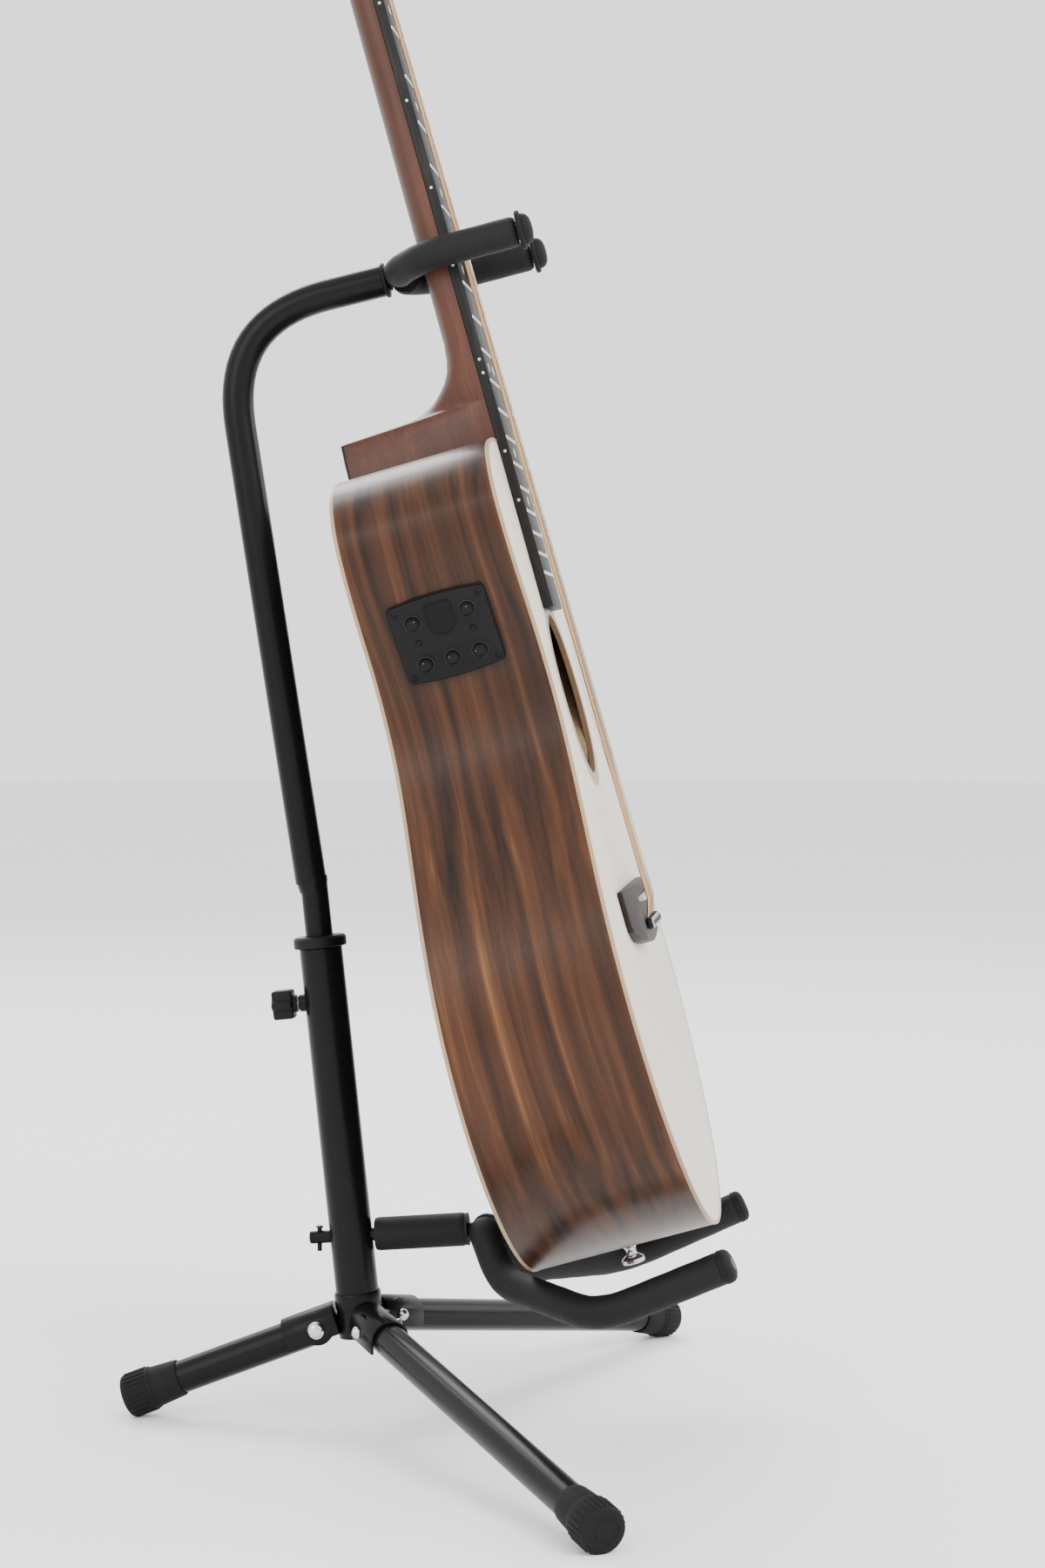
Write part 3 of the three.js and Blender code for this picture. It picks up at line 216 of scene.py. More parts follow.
class Finish:
    """A material whose nodes are added one call at a time."""

    def __init__(self, name):
        self.material = bpy.data.materials.new(name)
        self.material.use_nodes = True
        self.tree = self.material.node_tree
        self.tree.nodes.clear()
        self.spot = None

    def node(self, kind, settings=None, inputs=None, output=0):
        made = self.tree.nodes.new(kind)
        for key, value in (settings or {}).items():
            if key == "stops":
                ramp = made.color_ramp
                while len(ramp.elements) < len(value):
                    ramp.elements.new(0.5)
                for element, (place, colour) in zip(ramp.elements, value):
                    element.position = place
                    element.color = (*colour, 1)
            else:
                setattr(made, key, value)
        for key, value in (inputs or {}).items():
            if isinstance(value, Strand):
                self.tree.links.new(value.socket, made.inputs[key])
            else:
                made.inputs[key].default_value = value
        return Strand(self, made.outputs[output])

    def place(self, frame_of=WORLD, stretch=(1, 1, 1)):
        """Where a point lies in a frame, in millimetres times the stretch."""
        if self.spot is None:
            self.spot = self.node("ShaderNodeTexCoord", output="Object")
        back = frame_of.inverted()
        inputs = {
            "Vector": self.spot,
            "Location": back.translation,
            "Rotation": back.to_euler(),
            "Scale": back.to_scale(),
        }
        local = self.node("ShaderNodeMapping", {"vector_type": "POINT"}, inputs)
        return self.vector("MULTIPLY", local, stretch)

    def vector(self, operation, first, second=(0, 0, 0), output=0):
        settings = {"operation": operation}
        return self.node("ShaderNodeVectorMath", settings, {0: first, 1: second}, output)

    def noise(self, spot, scale, detail, rough, warp=0.0):
        inputs = {"Vector": spot, "Scale": scale, "Detail": detail, "Roughness": rough, "Distortion": warp}
        return self.node("ShaderNodeTexNoise", {"noise_dimensions": "3D"}, inputs)

    def grain(self, stretch, detail, rough, warp=0.0, frame_of=GUITAR):
        """Noise in a frame, with so many lumps to the millimetre along each of its axes."""
        return self.noise(self.place(frame_of, stretch), 1, detail, rough, warp)

    def ramp(self, amount, stops):
        return self.node("ShaderNodeValToRGB", {"stops": stops}, {"Fac": amount})

    def mix(self, amount, first, second):
        inputs = {0: amount, 6: rgba(first), 7: rgba(second)}  # the node's colour sockets
        return self.node("ShaderNodeMix", {"data_type": "RGBA"}, inputs, output=2)

    def bump(self, height, strength, distance):
        inputs = {"Height": height, "Strength": strength, "Distance": distance * MM}
        return self.node("ShaderNodeBump", None, inputs)

    def done(self, **sockets):
        """Ends the material in a Principled shader, with these sockets, named with underscores."""
        inputs = {key.replace("_", " "): value for key, value in sockets.items()}
        if "Base Color" in inputs:
            inputs["Base Color"] = rgba(inputs["Base Color"])
        shader = self.node("ShaderNodeBsdfPrincipled", None, inputs)
        out = self.tree.nodes.new("ShaderNodeOutputMaterial")
        self.tree.links.new(shader.socket, out.inputs["Surface"])
        return self.material


def rgba(colour):
    if isinstance(colour, Strand):
        return colour
    return (*tuple(colour)[:3], 1)


def shade(colour, factor):
    return tuple(min(1, c * factor) for c in colour)


# ---- finishes ----


def veneer(name, middle, dark, across=0.014, through=0.11):
    """Open-grained brown veneer with long dark streaks down the body and broad bands of painted golden
    highlight, under satin lacquer.
    """
    f = Finish(name)
    leaf = f.vector("ABSOLUTE", f.place(GUITAR))
    wander = f.grain((0.006, 0.004, 0.012), 2, 0.5)
    drift = f.vector("MULTIPLY", wander, (across * 12, 0, through * 12))
    flow = f.vector("ADD", f.vector("MULTIPLY", leaf, (across, 0.0016, through)), drift)
    broad = f.noise(flow, 1, 4, 0.55, 0.4)
    lines = f.noise(f.vector("MULTIPLY", leaf, (across * 5, 0.0035, through * 5)), 1, 4, 0.6, 0.15)
    pores = f.grain((across * 22 + 0.5, 0.022, through * 22), 3, 0.6)
    tone = broad * 0.84 + lines * 0.16
    # The golden top stop of the ramp is a painted highlight, spread by the noise in broad bands down the
    # body; the other stops are the wood's own tone.
    painted_highlight = (middle[0] * 3.6, middle[1] * 4.4, middle[2] * 4.2)
    body = f.ramp(tone, [(0.30, dark), (0.41, shade(middle, 0.62)), (0.50, middle),
                         (0.60, shade(middle, 1.6)), (0.74, painted_highlight)])
    streak = lines.between(0.56, 0.72) * broad.between(0.62, 0.40)
    streaked = f.mix(streak * 0.75, body, dark)
    open_pores = pores.between(0.58, 0.70)
    colour = f.mix(open_pores * 0.38, streaked, shade(dark, 0.8))
    height = open_pores * -0.7 + lines * 0.3
    return f.done(
        Base_Color=colour, Roughness=0.30 + open_pores * 0.16 + lines * 0.08,
        Normal=f.bump(height, 0.35, 0.12), Coat_Weight=0.05, Coat_Roughness=0.16, Specular_IOR_Level=0.2)


def spruce(name, colour):
    """Straight close grain down the board, with faint silk across it."""
    f = Finish(name)
    drift = f.grain((0.02, 0.004, 0.02), 2, 0.5)
    across = f.vector("ADD", f.place(GUITAR, (0.62, 0.004, 0.1)), f.vector("MULTIPLY", drift, (1.6, 0, 0)))
    grain = f.noise(across, 1, 3, 0.55)
    fine = f.grain((2.6, 0.03, 0.6), 2, 0.5)
    silk = f.grain((0.05, 0.35, 0.1), 2, 0.5)
    line = grain.between(0.52, 0.68)
    warm = f.mix(line * 0.5 + fine * 0.12, colour, shade(colour, 0.66))
    final = f.mix(silk.between(0.5, 0.7) * 0.22, warm, shade(colour, 1.14))
    return f.done(Base_Color=final, Roughness=0.36 + line * 0.12,
                  Normal=f.bump(line + fine * 0.4, 0.15, 0.08))


def mahogany(name, colour):
    """Reddish neck wood: short dark pores along the neck under satin."""
    f = Finish(name)
    band = f.grain((0.05, 0.006, 0.05), 3, 0.55, 0.3)
    fibre = f.grain((0.8, 0.02, 0.8), 3, 0.6)
    pores = f.grain((3.2, 0.10, 3.2), 2, 0.5).between(0.60, 0.72)
    stops = [(0.32, shade(colour, 0.55)), (0.50, colour), (0.70, shade(colour, 1.7))]
    base = f.ramp(band * 0.6 + fibre * 0.4, stops)
    wood = f.mix(pores * 0.5, base, shade(colour, 0.25))
    return f.done(Base_Color=wood, Roughness=0.34 + fibre * 0.12 + pores * 0.1,
                  Normal=f.bump(pores * -1 + fibre * 0.3, 0.25, 0.1),
                  Coat_Weight=0.05, Coat_Roughness=0.25, Specular_IOR_Level=0.25)


def close_wood(name, colour, lift=1.8, roughness=0.38):
    """Dark dense wood, as on a fingerboard or a bridge, rubbed smooth and dry."""
    f = Finish(name)
    band = f.grain((0.35, 0.02, 0.35), 3, 0.6, 0.2)
    pores = f.grain((3.5, 0.12, 3.5), 2, 0.5).between(0.58, 0.70)
    wood = f.ramp(band, [(0.35, shade(colour, 0.6)), (0.52, colour), (0.72, shade(colour, lift))])
    dry = f.mix(pores * 0.4, wood, shade(colour, 0.4))
    return f.done(Base_Color=dry, Roughness=roughness + band * 0.16 + pores * 0.1,
                  Normal=f.bump(pores * -1, 0.22, 0.08), Specular_IOR_Level=0.22)


def powder_coat(name, colour):
    """Black powder coat: a very fine orange peel with a soft sheen and a few handling marks."""
    f = Finish(name)
    peel = f.noise(f.place(), 1.3, 2, 0.5)
    grit = f.noise(f.place(), 6, 1, 0.5)
    cloud = f.grain((0.03, 0.03, 0.03), 3, 0.6, frame_of=WORLD)
    paint = f.mix(cloud * 0.5 + grit * 0.3, colour, shade(colour, 2.1))
    return f.done(Base_Color=paint, Roughness=0.20 + cloud * 0.10 + grit * 0.05,
                  Normal=f.bump(peel, 0.18, 0.06), Specular_IOR_Level=0.12)


def foam(name, colour):
    """Closed-cell foam sleeve: pitted all over and dull, with lighter cell walls."""
    f = Finish(name)
    spot = f.place()
    inputs = {"Vector": spot, "Scale": 1.5, "Randomness": 1.0}
    cells = f.node("ShaderNodeTexVoronoi", {"feature": "F1"}, inputs)
    lumps = f.noise(spot, 0.22, 3, 0.6)
    walls = cells.between(0.25, 0.75)
    skin = f.mix(walls * 0.45 + lumps * 0.35, shade(colour, 0.6), shade(colour, 2.2))
    return f.done(Base_Color=skin, Roughness=0.55 + walls * 0.16,
                  Normal=f.bump(walls * 0.6 + lumps * 0.8, 0.42, 0.3), Specular_IOR_Level=0.20)


def moulded(name, colour, roughness=0.42, grain=2.2, depth=0.05, wear=0.06):
    """Moulded plastic or rubber: a spark-eroded grain, a little uneven in gloss."""
    f = Finish(name)
    spot = f.place()
    spark = f.noise(spot, grain, 2, 0.6)
    dust = f.noise(spot, 0.05, 4, 0.65)
    skin = f.mix(spark * 0.3 + dust.between(0.45, 0.75) * wear * 6, colour, shade(colour, 2.0))
    return f.done(Base_Color=skin, Roughness=roughness + spark * 0.1 + dust * wear,
                  Normal=f.bump(spark, 0.25, depth), Specular_IOR_Level=0.15)


def metal(name, colour, roughness, brushing=0.08):
    """Plated or bright metal with faint polishing lines and finger smears."""
    f = Finish(name)
    lines = f.grain((0.4, 0.4, 5), 3, 0.6, frame_of=WORLD)
    smear = f.grain((0.12, 0.12, 0.12), 3, 0.6, frame_of=WORLD)
    tone = f.mix(smear * 0.5, colour, shade(colour, 0.8))
    return f.done(Base_Color=tone, Metallic=1.0, Roughness=roughness + lines * brushing + smear * 0.06,
                  Normal=f.bump(lines, 0.05, 0.02))


def wound_string(name, colour):
    """Wire wound close round a core: fine ridges all along it."""
    f = Finish(name)
    settings = {"wave_type": "BANDS", "bands_direction": "Y", "wave_profile": "SIN"}
    inputs = {"Vector": f.place(GUITAR), "Scale": 0.9, "Distortion": 0.0}
    ridges = f.node("ShaderNodeTexWave", settings, inputs)
    age = f.grain((0.02, 0.02, 0.02), 3, 0.6)
    tone = f.mix(ridges * 0.5 + age * 0.3, colour, shade(colour, 0.45))
    return f.done(Base_Color=tone, Metallic=0.95, Roughness=0.28 + age * 0.15,
                  Normal=f.bump(ridges, 0.5, 0.12))


def bone(name, colour, roughness=0.32):
    """Bone or pale inlay: faint streaks and a soft polish."""
    f = Finish(name)
    cloud = f.grain((0.25, 0.25, 0.8), 3, 0.6)
    fleck = f.grain((2.5, 0.6, 2.5), 2, 0.5).between(0.6, 0.75)
    tone = f.mix(cloud * 0.5 + fleck * 0.25, colour, shade(colour, 0.78))
    return f.done(Base_Color=tone, Roughness=roughness + cloud * 0.12, Normal=f.bump(cloud, 0.08, 0.05))


def rosette_rings(name):
    """Fine rings of wood let into the top: pale middle between dark and cream lines."""
    f = Finish(name)
    out = f.vector("LENGTH", f.vector("SUBTRACT", f.place(GUITAR, (1, 1, 0)), HOLE), output=1)
    inputs = {"Value": out, "From Min": HOLE_R, "From Max": RINGS_R}
    radius = f.node("ShaderNodeMapRange", {"clamp": True}, inputs)
    cream, tan_wood, dark = (0.40, 0.32, 0.21), (0.27, 0.17, 0.095), (0.02, 0.012, 0.008)
    rings = f.ramp(radius, [(0.10, tan_wood), (0.16, dark), (0.22, cream), (0.36, tan_wood),
                            (0.62, tan_wood), (0.74, cream), (0.82, dark), (0.88, cream)])
    speck = f.grain((0.8, 0.8, 0.8), 3, 0.6)
    return f.done(Base_Color=f.mix(speck * 0.3, rings, tan_wood), Roughness=0.34 + speck * 0.1,
                  Normal=f.bump(speck, 0.05, 0.05))


def floor_paint(name):
    f = Finish(name)
    cloud = f.grain((0.002, 0.002, 0.002), 3, 0.5, frame_of=WORLD)
    tone = f.mix(cloud, (0.86, 0.86, 0.86), (0.90, 0.90, 0.90))
    return f.done(Base_Color=tone, Roughness=0.6 + cloud * 0.1)


FINISHES = {}


def mix_finishes():
    """Every finish is mixed once, from the scene's colours."""
    c = bpy.context.scene.guitar_colours
    FINISHES.update(
        veneer=veneer("brown_veneer", c.veneer, c.veneer_dark),
        back=veneer("book_matched_back", c.veneer, c.veneer_dark, 0.20, 0.02),
        spruce=spruce("spruce_top", c.spruce),
        inside=spruce("inside_spruce", (0.36, 0.25, 0.145)),
        edge=spruce("soundhole_edge_wood", (0.17, 0.095, 0.045)),
        mahogany=mahogany("mahogany_neck", c.mahogany),
        board=close_wood("fingerboard_wood", (0.007, 0.006, 0.006), 2.6, 0.40),
        bridge=close_wood("bridge_wood", (0.011, 0.0052, 0.0034), 1.9, 0.42),
        heel_cap=close_wood("heel_cap_wood", (0.013, 0.007, 0.005), 1.6, 0.35),
        binding=bone("cream_binding", c.binding, 0.34),
        bone=bone("bone", (0.50, 0.45, 0.36)),
        pearl=bone("white_inlay", (0.60, 0.59, 0.57), 0.22),
        rosette=rosette_rings("rosette_rings"),
        bronze=wound_string("bronze_winding", (0.52, 0.32, 0.17)),
        plain=metal("plain_string", (0.60, 0.54, 0.46), 0.22),
        fret=metal("fret_wire", (0.74, 0.73, 0.70), 0.20),
        chrome=metal("chrome", (0.62, 0.63, 0.64), 0.09),
        steel=metal("clamp_steel", (0.52, 0.52, 0.53), 0.26, 0.14),
        coat=powder_coat("powder_coat", c.steel),
        foam=foam("foam_sleeve", c.foam),
        rubber=moulded("black_rubber", (0.0050, 0.0050, 0.0053), 0.58, 1.6, 0.09, 0.1),
        plastic=moulded("black_plastic", (0.0040, 0.0040, 0.0043), 0.40, 2.6, 0.05),
        knob=moulded("knob_plastic", (0.0034, 0.0034, 0.0036), 0.30, 3.2, 0.03),
        lens=moulded("dark_window", (0.0006, 0.0006, 0.0007), 0.05, 0.4, 0.01, 0.02),
        ring=moulded("ring_plastic", (0.013, 0.013, 0.0135), 0.28, 3.0, 0.02),
        mark=moulded("grey_mark", (0.20, 0.20, 0.21), 0.5, 3.0, 0.02),
        floor=floor_paint("studio_floor"),
    )


# ---- the bench: how pieces are made ----


def only(piece):
    bpy.ops.object.select_all(action="DESELECT")
    piece.select_set(True)
    bpy.context.view_layer.objects.active = piece
    return piece


def applied(piece):
    """Moves the piece's place into its mesh."""
    only(piece)
    bpy.ops.object.transform_apply(location=True, rotation=True, scale=True)
    return piece


def added():
    """The object that the last operator added."""
    return applied(bpy.context.view_layer.objects.active)


def cylinder(radius, low, high, sides=48):
    bpy.ops.object.select_all(action="DESELECT")
    bpy.ops.mesh.primitive_cylinder_add(
        vertices=sides, radius=radius, depth=high - low, location=(0, 0, (low + high) / 2))
    return added()


def block(low, high):
    low, high = Vector(low), Vector(high)
    bpy.ops.object.select_all(action="DESELECT")
    bpy.ops.mesh.primitive_cube_add(size=1, location=(low + high) / 2, scale=high - low)
    return added()


def ball(radii, place, segments=32, rings=16):
    bpy.ops.object.select_all(action="DESELECT")
    bpy.ops.mesh.primitive_uv_sphere_add(
        segments=segments, ring_count=rings, radius=1, location=place, scale=radii)
    return added()


def select(piece, kind, test):
    """Selects the faces, edges or verts that pass the test, in edit mode."""
    mesh = bmesh.from_edit_mesh(piece.data)
    bpy.ops.mesh.select_all(action="DESELECT")
    for element in getattr(mesh, kind):
        element.select = bool(test(element))
    mesh.select_flush(True)
    bmesh.update_edit_mesh(piece.data)


def edit(piece, mode="FACE"):
    only(piece)
    bpy.ops.object.mode_set(mode="EDIT")
    bpy.ops.mesh.select_mode(type=mode)
    bpy.ops.mesh.select_all(action="SELECT")


def leave():
    bpy.ops.object.mode_set(mode="OBJECT")


def tidied(piece, merge=0.01):
    edit(piece, "VERT")
    bpy.ops.mesh.remove_doubles(threshold=merge)
    bpy.ops.mesh.normals_make_consistent(inside=False)
    leave()
    return piece


def modified(piece, kind, **settings):
    only(piece)
    made = piece.modifiers.new(kind.title(), kind)
    for key, value in settings.items():
        setattr(made, key, value)
    bpy.ops.object.modifier_apply(modifier=made.name)
    return piece


def bevelled(piece, width, segments=2, angle=40):
    return modified(piece, "BEVEL", width=width, segments=segments, limit_method="ANGLE",
                    angle_limit=radians(angle), harden_normals=False)


def joined(pieces):
    pieces = list(pieces)
    only(pieces[0])
    for piece in pieces[1:]:
        piece.select_set(True)
    bpy.ops.object.join()
    return pieces[0]


def combined(piece, other, operation="UNION"):
    modified(piece, "BOOLEAN", operation=operation, object=other, solver="EXACT")
    bpy.data.objects.remove(other)
    return tidied(piece, 0.002)


def cut(piece, tool):
    return combined(piece, tool, "DIFFERENCE")


def copied(piece):
    only(piece)
    bpy.ops.object.duplicate(linked=False)
    return bpy.context.view_layer.objects.active


def moved(piece, matrix):
    """Moves a finished shape by a matrix, within its own frame."""
    only(piece)
    piece.matrix_world = matrix
    bpy.context.view_layer.update()
    return applied(piece)


def at(x, y=0, z=0):
    return Matrix.Translation((x, y, z))


def shift(piece, x=0, y=0, z=0):
    return moved(piece, at(x, y, z))


def repeated(piece, places):
    """One piece made of a copy at each place."""
    copies = [moved(copied(piece), place) for place in places]
    bpy.data.objects.remove(piece)
    return joined(copies)


def wire(points, closed=False, bezier=None, steps=20):
    """A line through the points, or through Bezier points given as [point, left, right]."""
    bpy.ops.object.select_all(action="DESELECT")
    bpy.ops.curve.primitive_bezier_curve_add()
    curve = only(bpy.context.view_layer.objects.active)
    curve.location = (0, 0, 0)
    curve.data.dimensions = "3D"
    curve.data.splines.clear()
    spline = curve.data.splines.new("BEZIER" if bezier else "POLY")
    spline.use_cyclic_u = closed
    if bezier:
        spline.bezier_points.add(len(bezier) - 1)
        for made, (point, left, right) in zip(spline.bezier_points, bezier):
            made.handle_left_type = made.handle_right_type = "FREE"
            made.co, made.handle_left, made.handle_right = point, left, right
        spline.resolution_u = steps
        curve.data.resolution_u = steps
    else:
        spline.points.add(len(points) - 1)
        for made, point in zip(spline.points, points):
            made.co = (*point, 1)
    return curve


def as_mesh(curve):
    only(curve)
    bpy.ops.object.convert(target="MESH")
    return bpy.context.view_layer.objects.active


def rod(points, radius, round_by=10, swell=None):
    """A round bar or tube along the points, with closed ends."""
    curve = wire(points)
    curve.data.bevel_mode = "ROUND"
    curve.data.bevel_depth = radius
    curve.data.bevel_resolution = round_by
    curve.data.use_fill_caps = True
    if swell:
        for made, factor in zip(curve.data.splines[0].points, swell):
            made.radius = factor
    return tidied(as_mesh(curve), radius * 0.002)


def turned(profile, sides=48, closed=False):
    """A turned piece: the profile, as (radius, height) pairs, spun round +Z."""
    points = [(r, 0, z) for r, z in profile]
    piece = as_mesh(wire(points, closed))
    edit(piece, "VERT")
    bpy.ops.mesh.spin(steps=sides, angle=2 * pi, center=(0, 0, 0), axis=(0, 0, 1))
    leave()
    return tidied(piece, 0.005)


def slab(points, low, high, curve=None):
    """A flat shape drawn as a closed outline, made thick by extruding its face."""
    piece = as_mesh(curve or wire([(*p, 0) for p in points], closed=True))
    piece = shift(tidied(piece, 0.005), z=low)
    edit(piece, "EDGE")
    bpy.ops.mesh.edge_face_add()
    bpy.ops.mesh.extrude_region_move(TRANSFORM_OT_translate={"value": (0, 0, high - low)})
    leave()
    return tidied(piece, 0.005)


def sliced(piece, place, normal):
    """Cuts off what lies on the normal's side of a plane, and closes the cut."""
    edit(piece, "VERT")
    bpy.ops.mesh.bisect(plane_co=place, plane_no=normal, use_fill=True, clear_outer=True)
    leave()
    return piece


def bent(corners, trims, steps=8):
    """A route of straight stretches with a smooth bend at each inner corner."""
    corners = [Vector(c) for c in corners]
    route = [corners[0]]
    for before, corner, after, trim in zip(corners, corners[1:], corners[2:], trims):
        a = corner + (before - corner).normalized() * trim
        b = corner + (after - corner).normalized() * trim
        for i in range(steps + 1):
            t = i / steps
            route.append(a * (1 - t) ** 2 + corner * 2 * t * (1 - t) + b * t**2)
    route.append(corners[-1])
    return route


def stretch_of(route, start, end, step=2.5):
    """The part of a route between two shares of its length, in even steps."""
    lengths = [0]
    for a, b in zip(route, route[1:]):
        lengths.append(lengths[-1] + (b - a).length)
    total = lengths[-1]

    def point_at(distance):
        for i, (a, b) in enumerate(zip(lengths, lengths[1:])):
            if distance <= b or i == len(route) - 2:
                share = (distance - a) / max(b - a, 1e-9)
                return route[i].lerp(route[i + 1], min(max(share, 0), 1))

    count = max(2, int(total * (end - start) / step))
    return [point_at(total * (start + (end - start) * i / count)) for i in range(count + 1)]


def settled(piece, name, place, body, finish, stands_for=(), smooth=35):
    moved(piece, place)
    bpy.ops.object.shade_smooth_by_angle(angle=radians(smooth), keep_sharp_edges=False)
    piece.name = name
    piece.data.name = name
    piece.data.materials.clear()
    piece.data.materials.append(FINISHES[finish])
    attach(piece, body)
    if stands_for:
        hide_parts(*([stands_for] if isinstance(stands_for, str) else stands_for))
    return piece


def dressed(node, finish):
    """A CAD node that keeps its shape and gets a better finish."""
    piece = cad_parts[node]
    for material_slot in piece.material_slots:
        material_slot.material = FINISHES[finish]


# ---- the guitar's body ----


def body_outline(grow=0.0):
    """The body's outline from above, as Bezier points, grown outwards by so much."""
    (uw, ud), (ww, wd), (lw, ld) = BOUTS
    end = BODY_LENGTH + grow
    uw, ww, lw = uw + grow, ww + grow, lw + grow

    def side(s):
        p = lambda x, down: (s * x, -down, 0)
        return [
            (p(30, -grow), p(10, -grow), p(uw * 0.72, -grow)),
            (p(uw, ud), p(uw, ud * 0.42), p(uw, ud + 42)),
            (p(ww, wd), p(ww, wd - 45), p(ww, wd + 62)),
            (p(lw, ld), p(lw, ld - 78), p(lw, ld + 84)),
        ]

    left = [(a, c, b) for a, b, c in reversed(side(-1))]
    tail = ((0, -end, 0), (lw * 0.52, -end, 0), (-lw * 0.52, -end, 0))
    return [*side(1), tail, *left]


def body_wire(grow=0.0):
    return wire(None, closed=True, bezier=body_outline(grow), steps=22)


def on_back():
    """The frame of the back's outer face, which tapers towards the neck."""
    return at(0, 0, -DEPTH_AT_NECK) @ Matrix.Rotation(BACK_TAPER, 4, "X")


def back_place(up=0.0):
    """A point so far inside the back's outer face."""
    return Vector((0, 0, -DEPTH_AT_NECK)) + BACK_NORMAL * up


def side_wall(grow, top, thickness):
    """A wall that follows the body's outline, down past the back."""
    piece = tidied(as_mesh(body_wire(grow)), 0.005)
    shift(piece, z=top)
    edit(piece, "EDGE")
    bpy.ops.mesh.extrude_region_move(TRANSFORM_OT_translate={"value": (0, 0, -124 - top)})
    bpy.ops.mesh.select_all(action="SELECT")
    bpy.ops.mesh.normals_make_consistent(inside=False)
    leave()
    face = min(piece.data.polygons, key=lambda p: p.center.x)
    if face.normal.x > 0:
        edit(piece)
        bpy.ops.mesh.flip_normals()
        leave()
    return modified(piece, "SOLIDIFY", thickness=thickness, offset=-1, use_even_offset=True)


def make_sides():
    band = bpy.context.scene.guitar_sizes.binding / MM
    wall = side_wall(0, -band + 0.3, 2.6)
    sliced(wall, back_place(band - 0.3), -BACK_NORMAL)
    window = block((-25, -19.5, -32), (25, 19.5, 32))
    cut(wall, moved(window, GUITAR.inverted() @ PREAMP))
    cut(wall, moved(cylinder(4, -60, 60, 24), END_PIN))
    settled(wall, "body_sides", GUITAR, "guitar", "veneer", "sides", smooth=30)


def make_plates():
    top = slab(None, -PLATE, 0, body_wire(-1.4))
    cut(top, shift(cylinder(HOLE_R, -20, 20, 96), HOLE.x, HOLE.y))
    bevelled(top, 0.5, 2, 60)
    settled(top, "body_top", GUITAR, "guitar", "spruce", "soundboard", smooth=30)

    back = slab(None, 0, PLATE, body_wire(-1.4))
    moved(back, on_back())
    settled(back, "body_back", GUITAR, "guitar", "back", "back_plate", smooth=30)


def make_bindings():
    band = bpy.context.scene.guitar_sizes.binding / MM
    proud = 0.25
    top = side_wall(proud, proud, 2.2)
    sliced(top, (0, 0, proud - band), (0, 0, -1))
    bevelled(top, 0.25, 2, 60)
    settled(top, "binding_top", GUITAR, "guitar", "binding", smooth=30)
    back = side_wall(proud, -40, 2.2)
    sliced(back, back_place(-proud), -BACK_NORMAL)
    sliced(back, back_place(band - proud), BACK_NORMAL)
    bevelled(back, 0.25, 2, 60)
    settled(back, "binding_back", GUITAR, "guitar", "binding", smooth=30)
    strip = block((-2, -BODY_LENGTH + 2.5, -0.18), (2, -3, 0.5))
    bevelled(strip, 0.1, 1)
    moved(strip, on_back())
    settled(strip, "back_strip", GUITAR, "guitar", "binding")


def make_rosette():
    wide = bpy.context.scene.guitar_sizes.rosette / MM
    inner = HOLE_R + 0.8
    ring = turned([(inner, -0.4), (inner, 0.12), (inner + 0.3, 0.22),
                   (inner + wide - 0.3, 0.22), (inner + wide, 0.12), (inner + wide, -0.4)], 96, closed=True)
    shift(ring, HOLE.x, HOLE.y)
    settled(ring, "rosette", GUITAR, "guitar", "rosette")
    edge = turned([(HOLE_R - 0.15, -PLATE - 0.1), (HOLE_R + 0.6, -PLATE - 0.1), (HOLE_R + 0.75, 0.2),
                   (HOLE_R, 0.26), (HOLE_R - 0.15, 0.1)], 96, closed=True)
    shift(edge, HOLE.x, HOLE.y)
    settled(edge, "soundhole_edge", GUITAR, "guitar", "edge")


# ---- the neck ----


def half_width(y):
    return (43 + 12 * (NUT_Y - y) / NUT_Y) / 2


def fret_place(fret):
    return SCALE_LENGTH * (2 ** (-fret / 12) - 2 ** (-NECK_FRET / 12))


def neck_sections():
    wide, nut, tall = 27.5, 21.5, 124.8
    return [
        (0.3, wide - 0.5, tall, 1.35), (HEEL * 0.5, wide - 0.6, tall, 1.5),
        (HEEL * 0.8, wide - 0.7, tall, 1.9), (HEEL * 0.95, wide - 0.7, tall, 2.05),
        (HEEL, wide - 0.7, 96, 2.1), (HEEL + 0.2, wide - 0.7, 80, 1.95),
        (HEEL + 0.8, wide - 0.8, 60, 1.75), (HEEL + 2.1, wide - 0.8, 48, 1.55),
        (HEEL + 4, wide - 0.8, 41, 1.35), (HEEL + 7.5, wide - 0.9, 34, 1.15),
        (HEEL + 12, wide - 1, 28.5, 1), (HEEL + 17, wide - 1, 23.8, 0.92),
        (HEEL + 23, wide - 1.1, 20.2, 0.87), (HEEL + 30, wide - 1.3, 18.2, 0.84),
        (HEEL + 40, wide - 1.5, 17, 0.82),
        (NUT_Y - 30, nut + 0.4, 15, 0.82), (NUT_Y + 1, nut, 14.5, 0.8), (NUT_Y + 9, nut - 0.5, 14, 0.75),
    ]


def neck_ring(y, half, depth, power):
    """Half an ellipse across the neck: a power under 1 makes it fuller, and over 1 pointed."""
    sides = 36
    points = []
    for i in range(sides + 1):
        a = pi * i / sides
        c = cos(a)
        x = half * (1 if c > 0 else -1) * abs(c) ** power
        points.append((x, y, 0 if i % sides == 0 else -depth * sin(a) ** power))
    return points


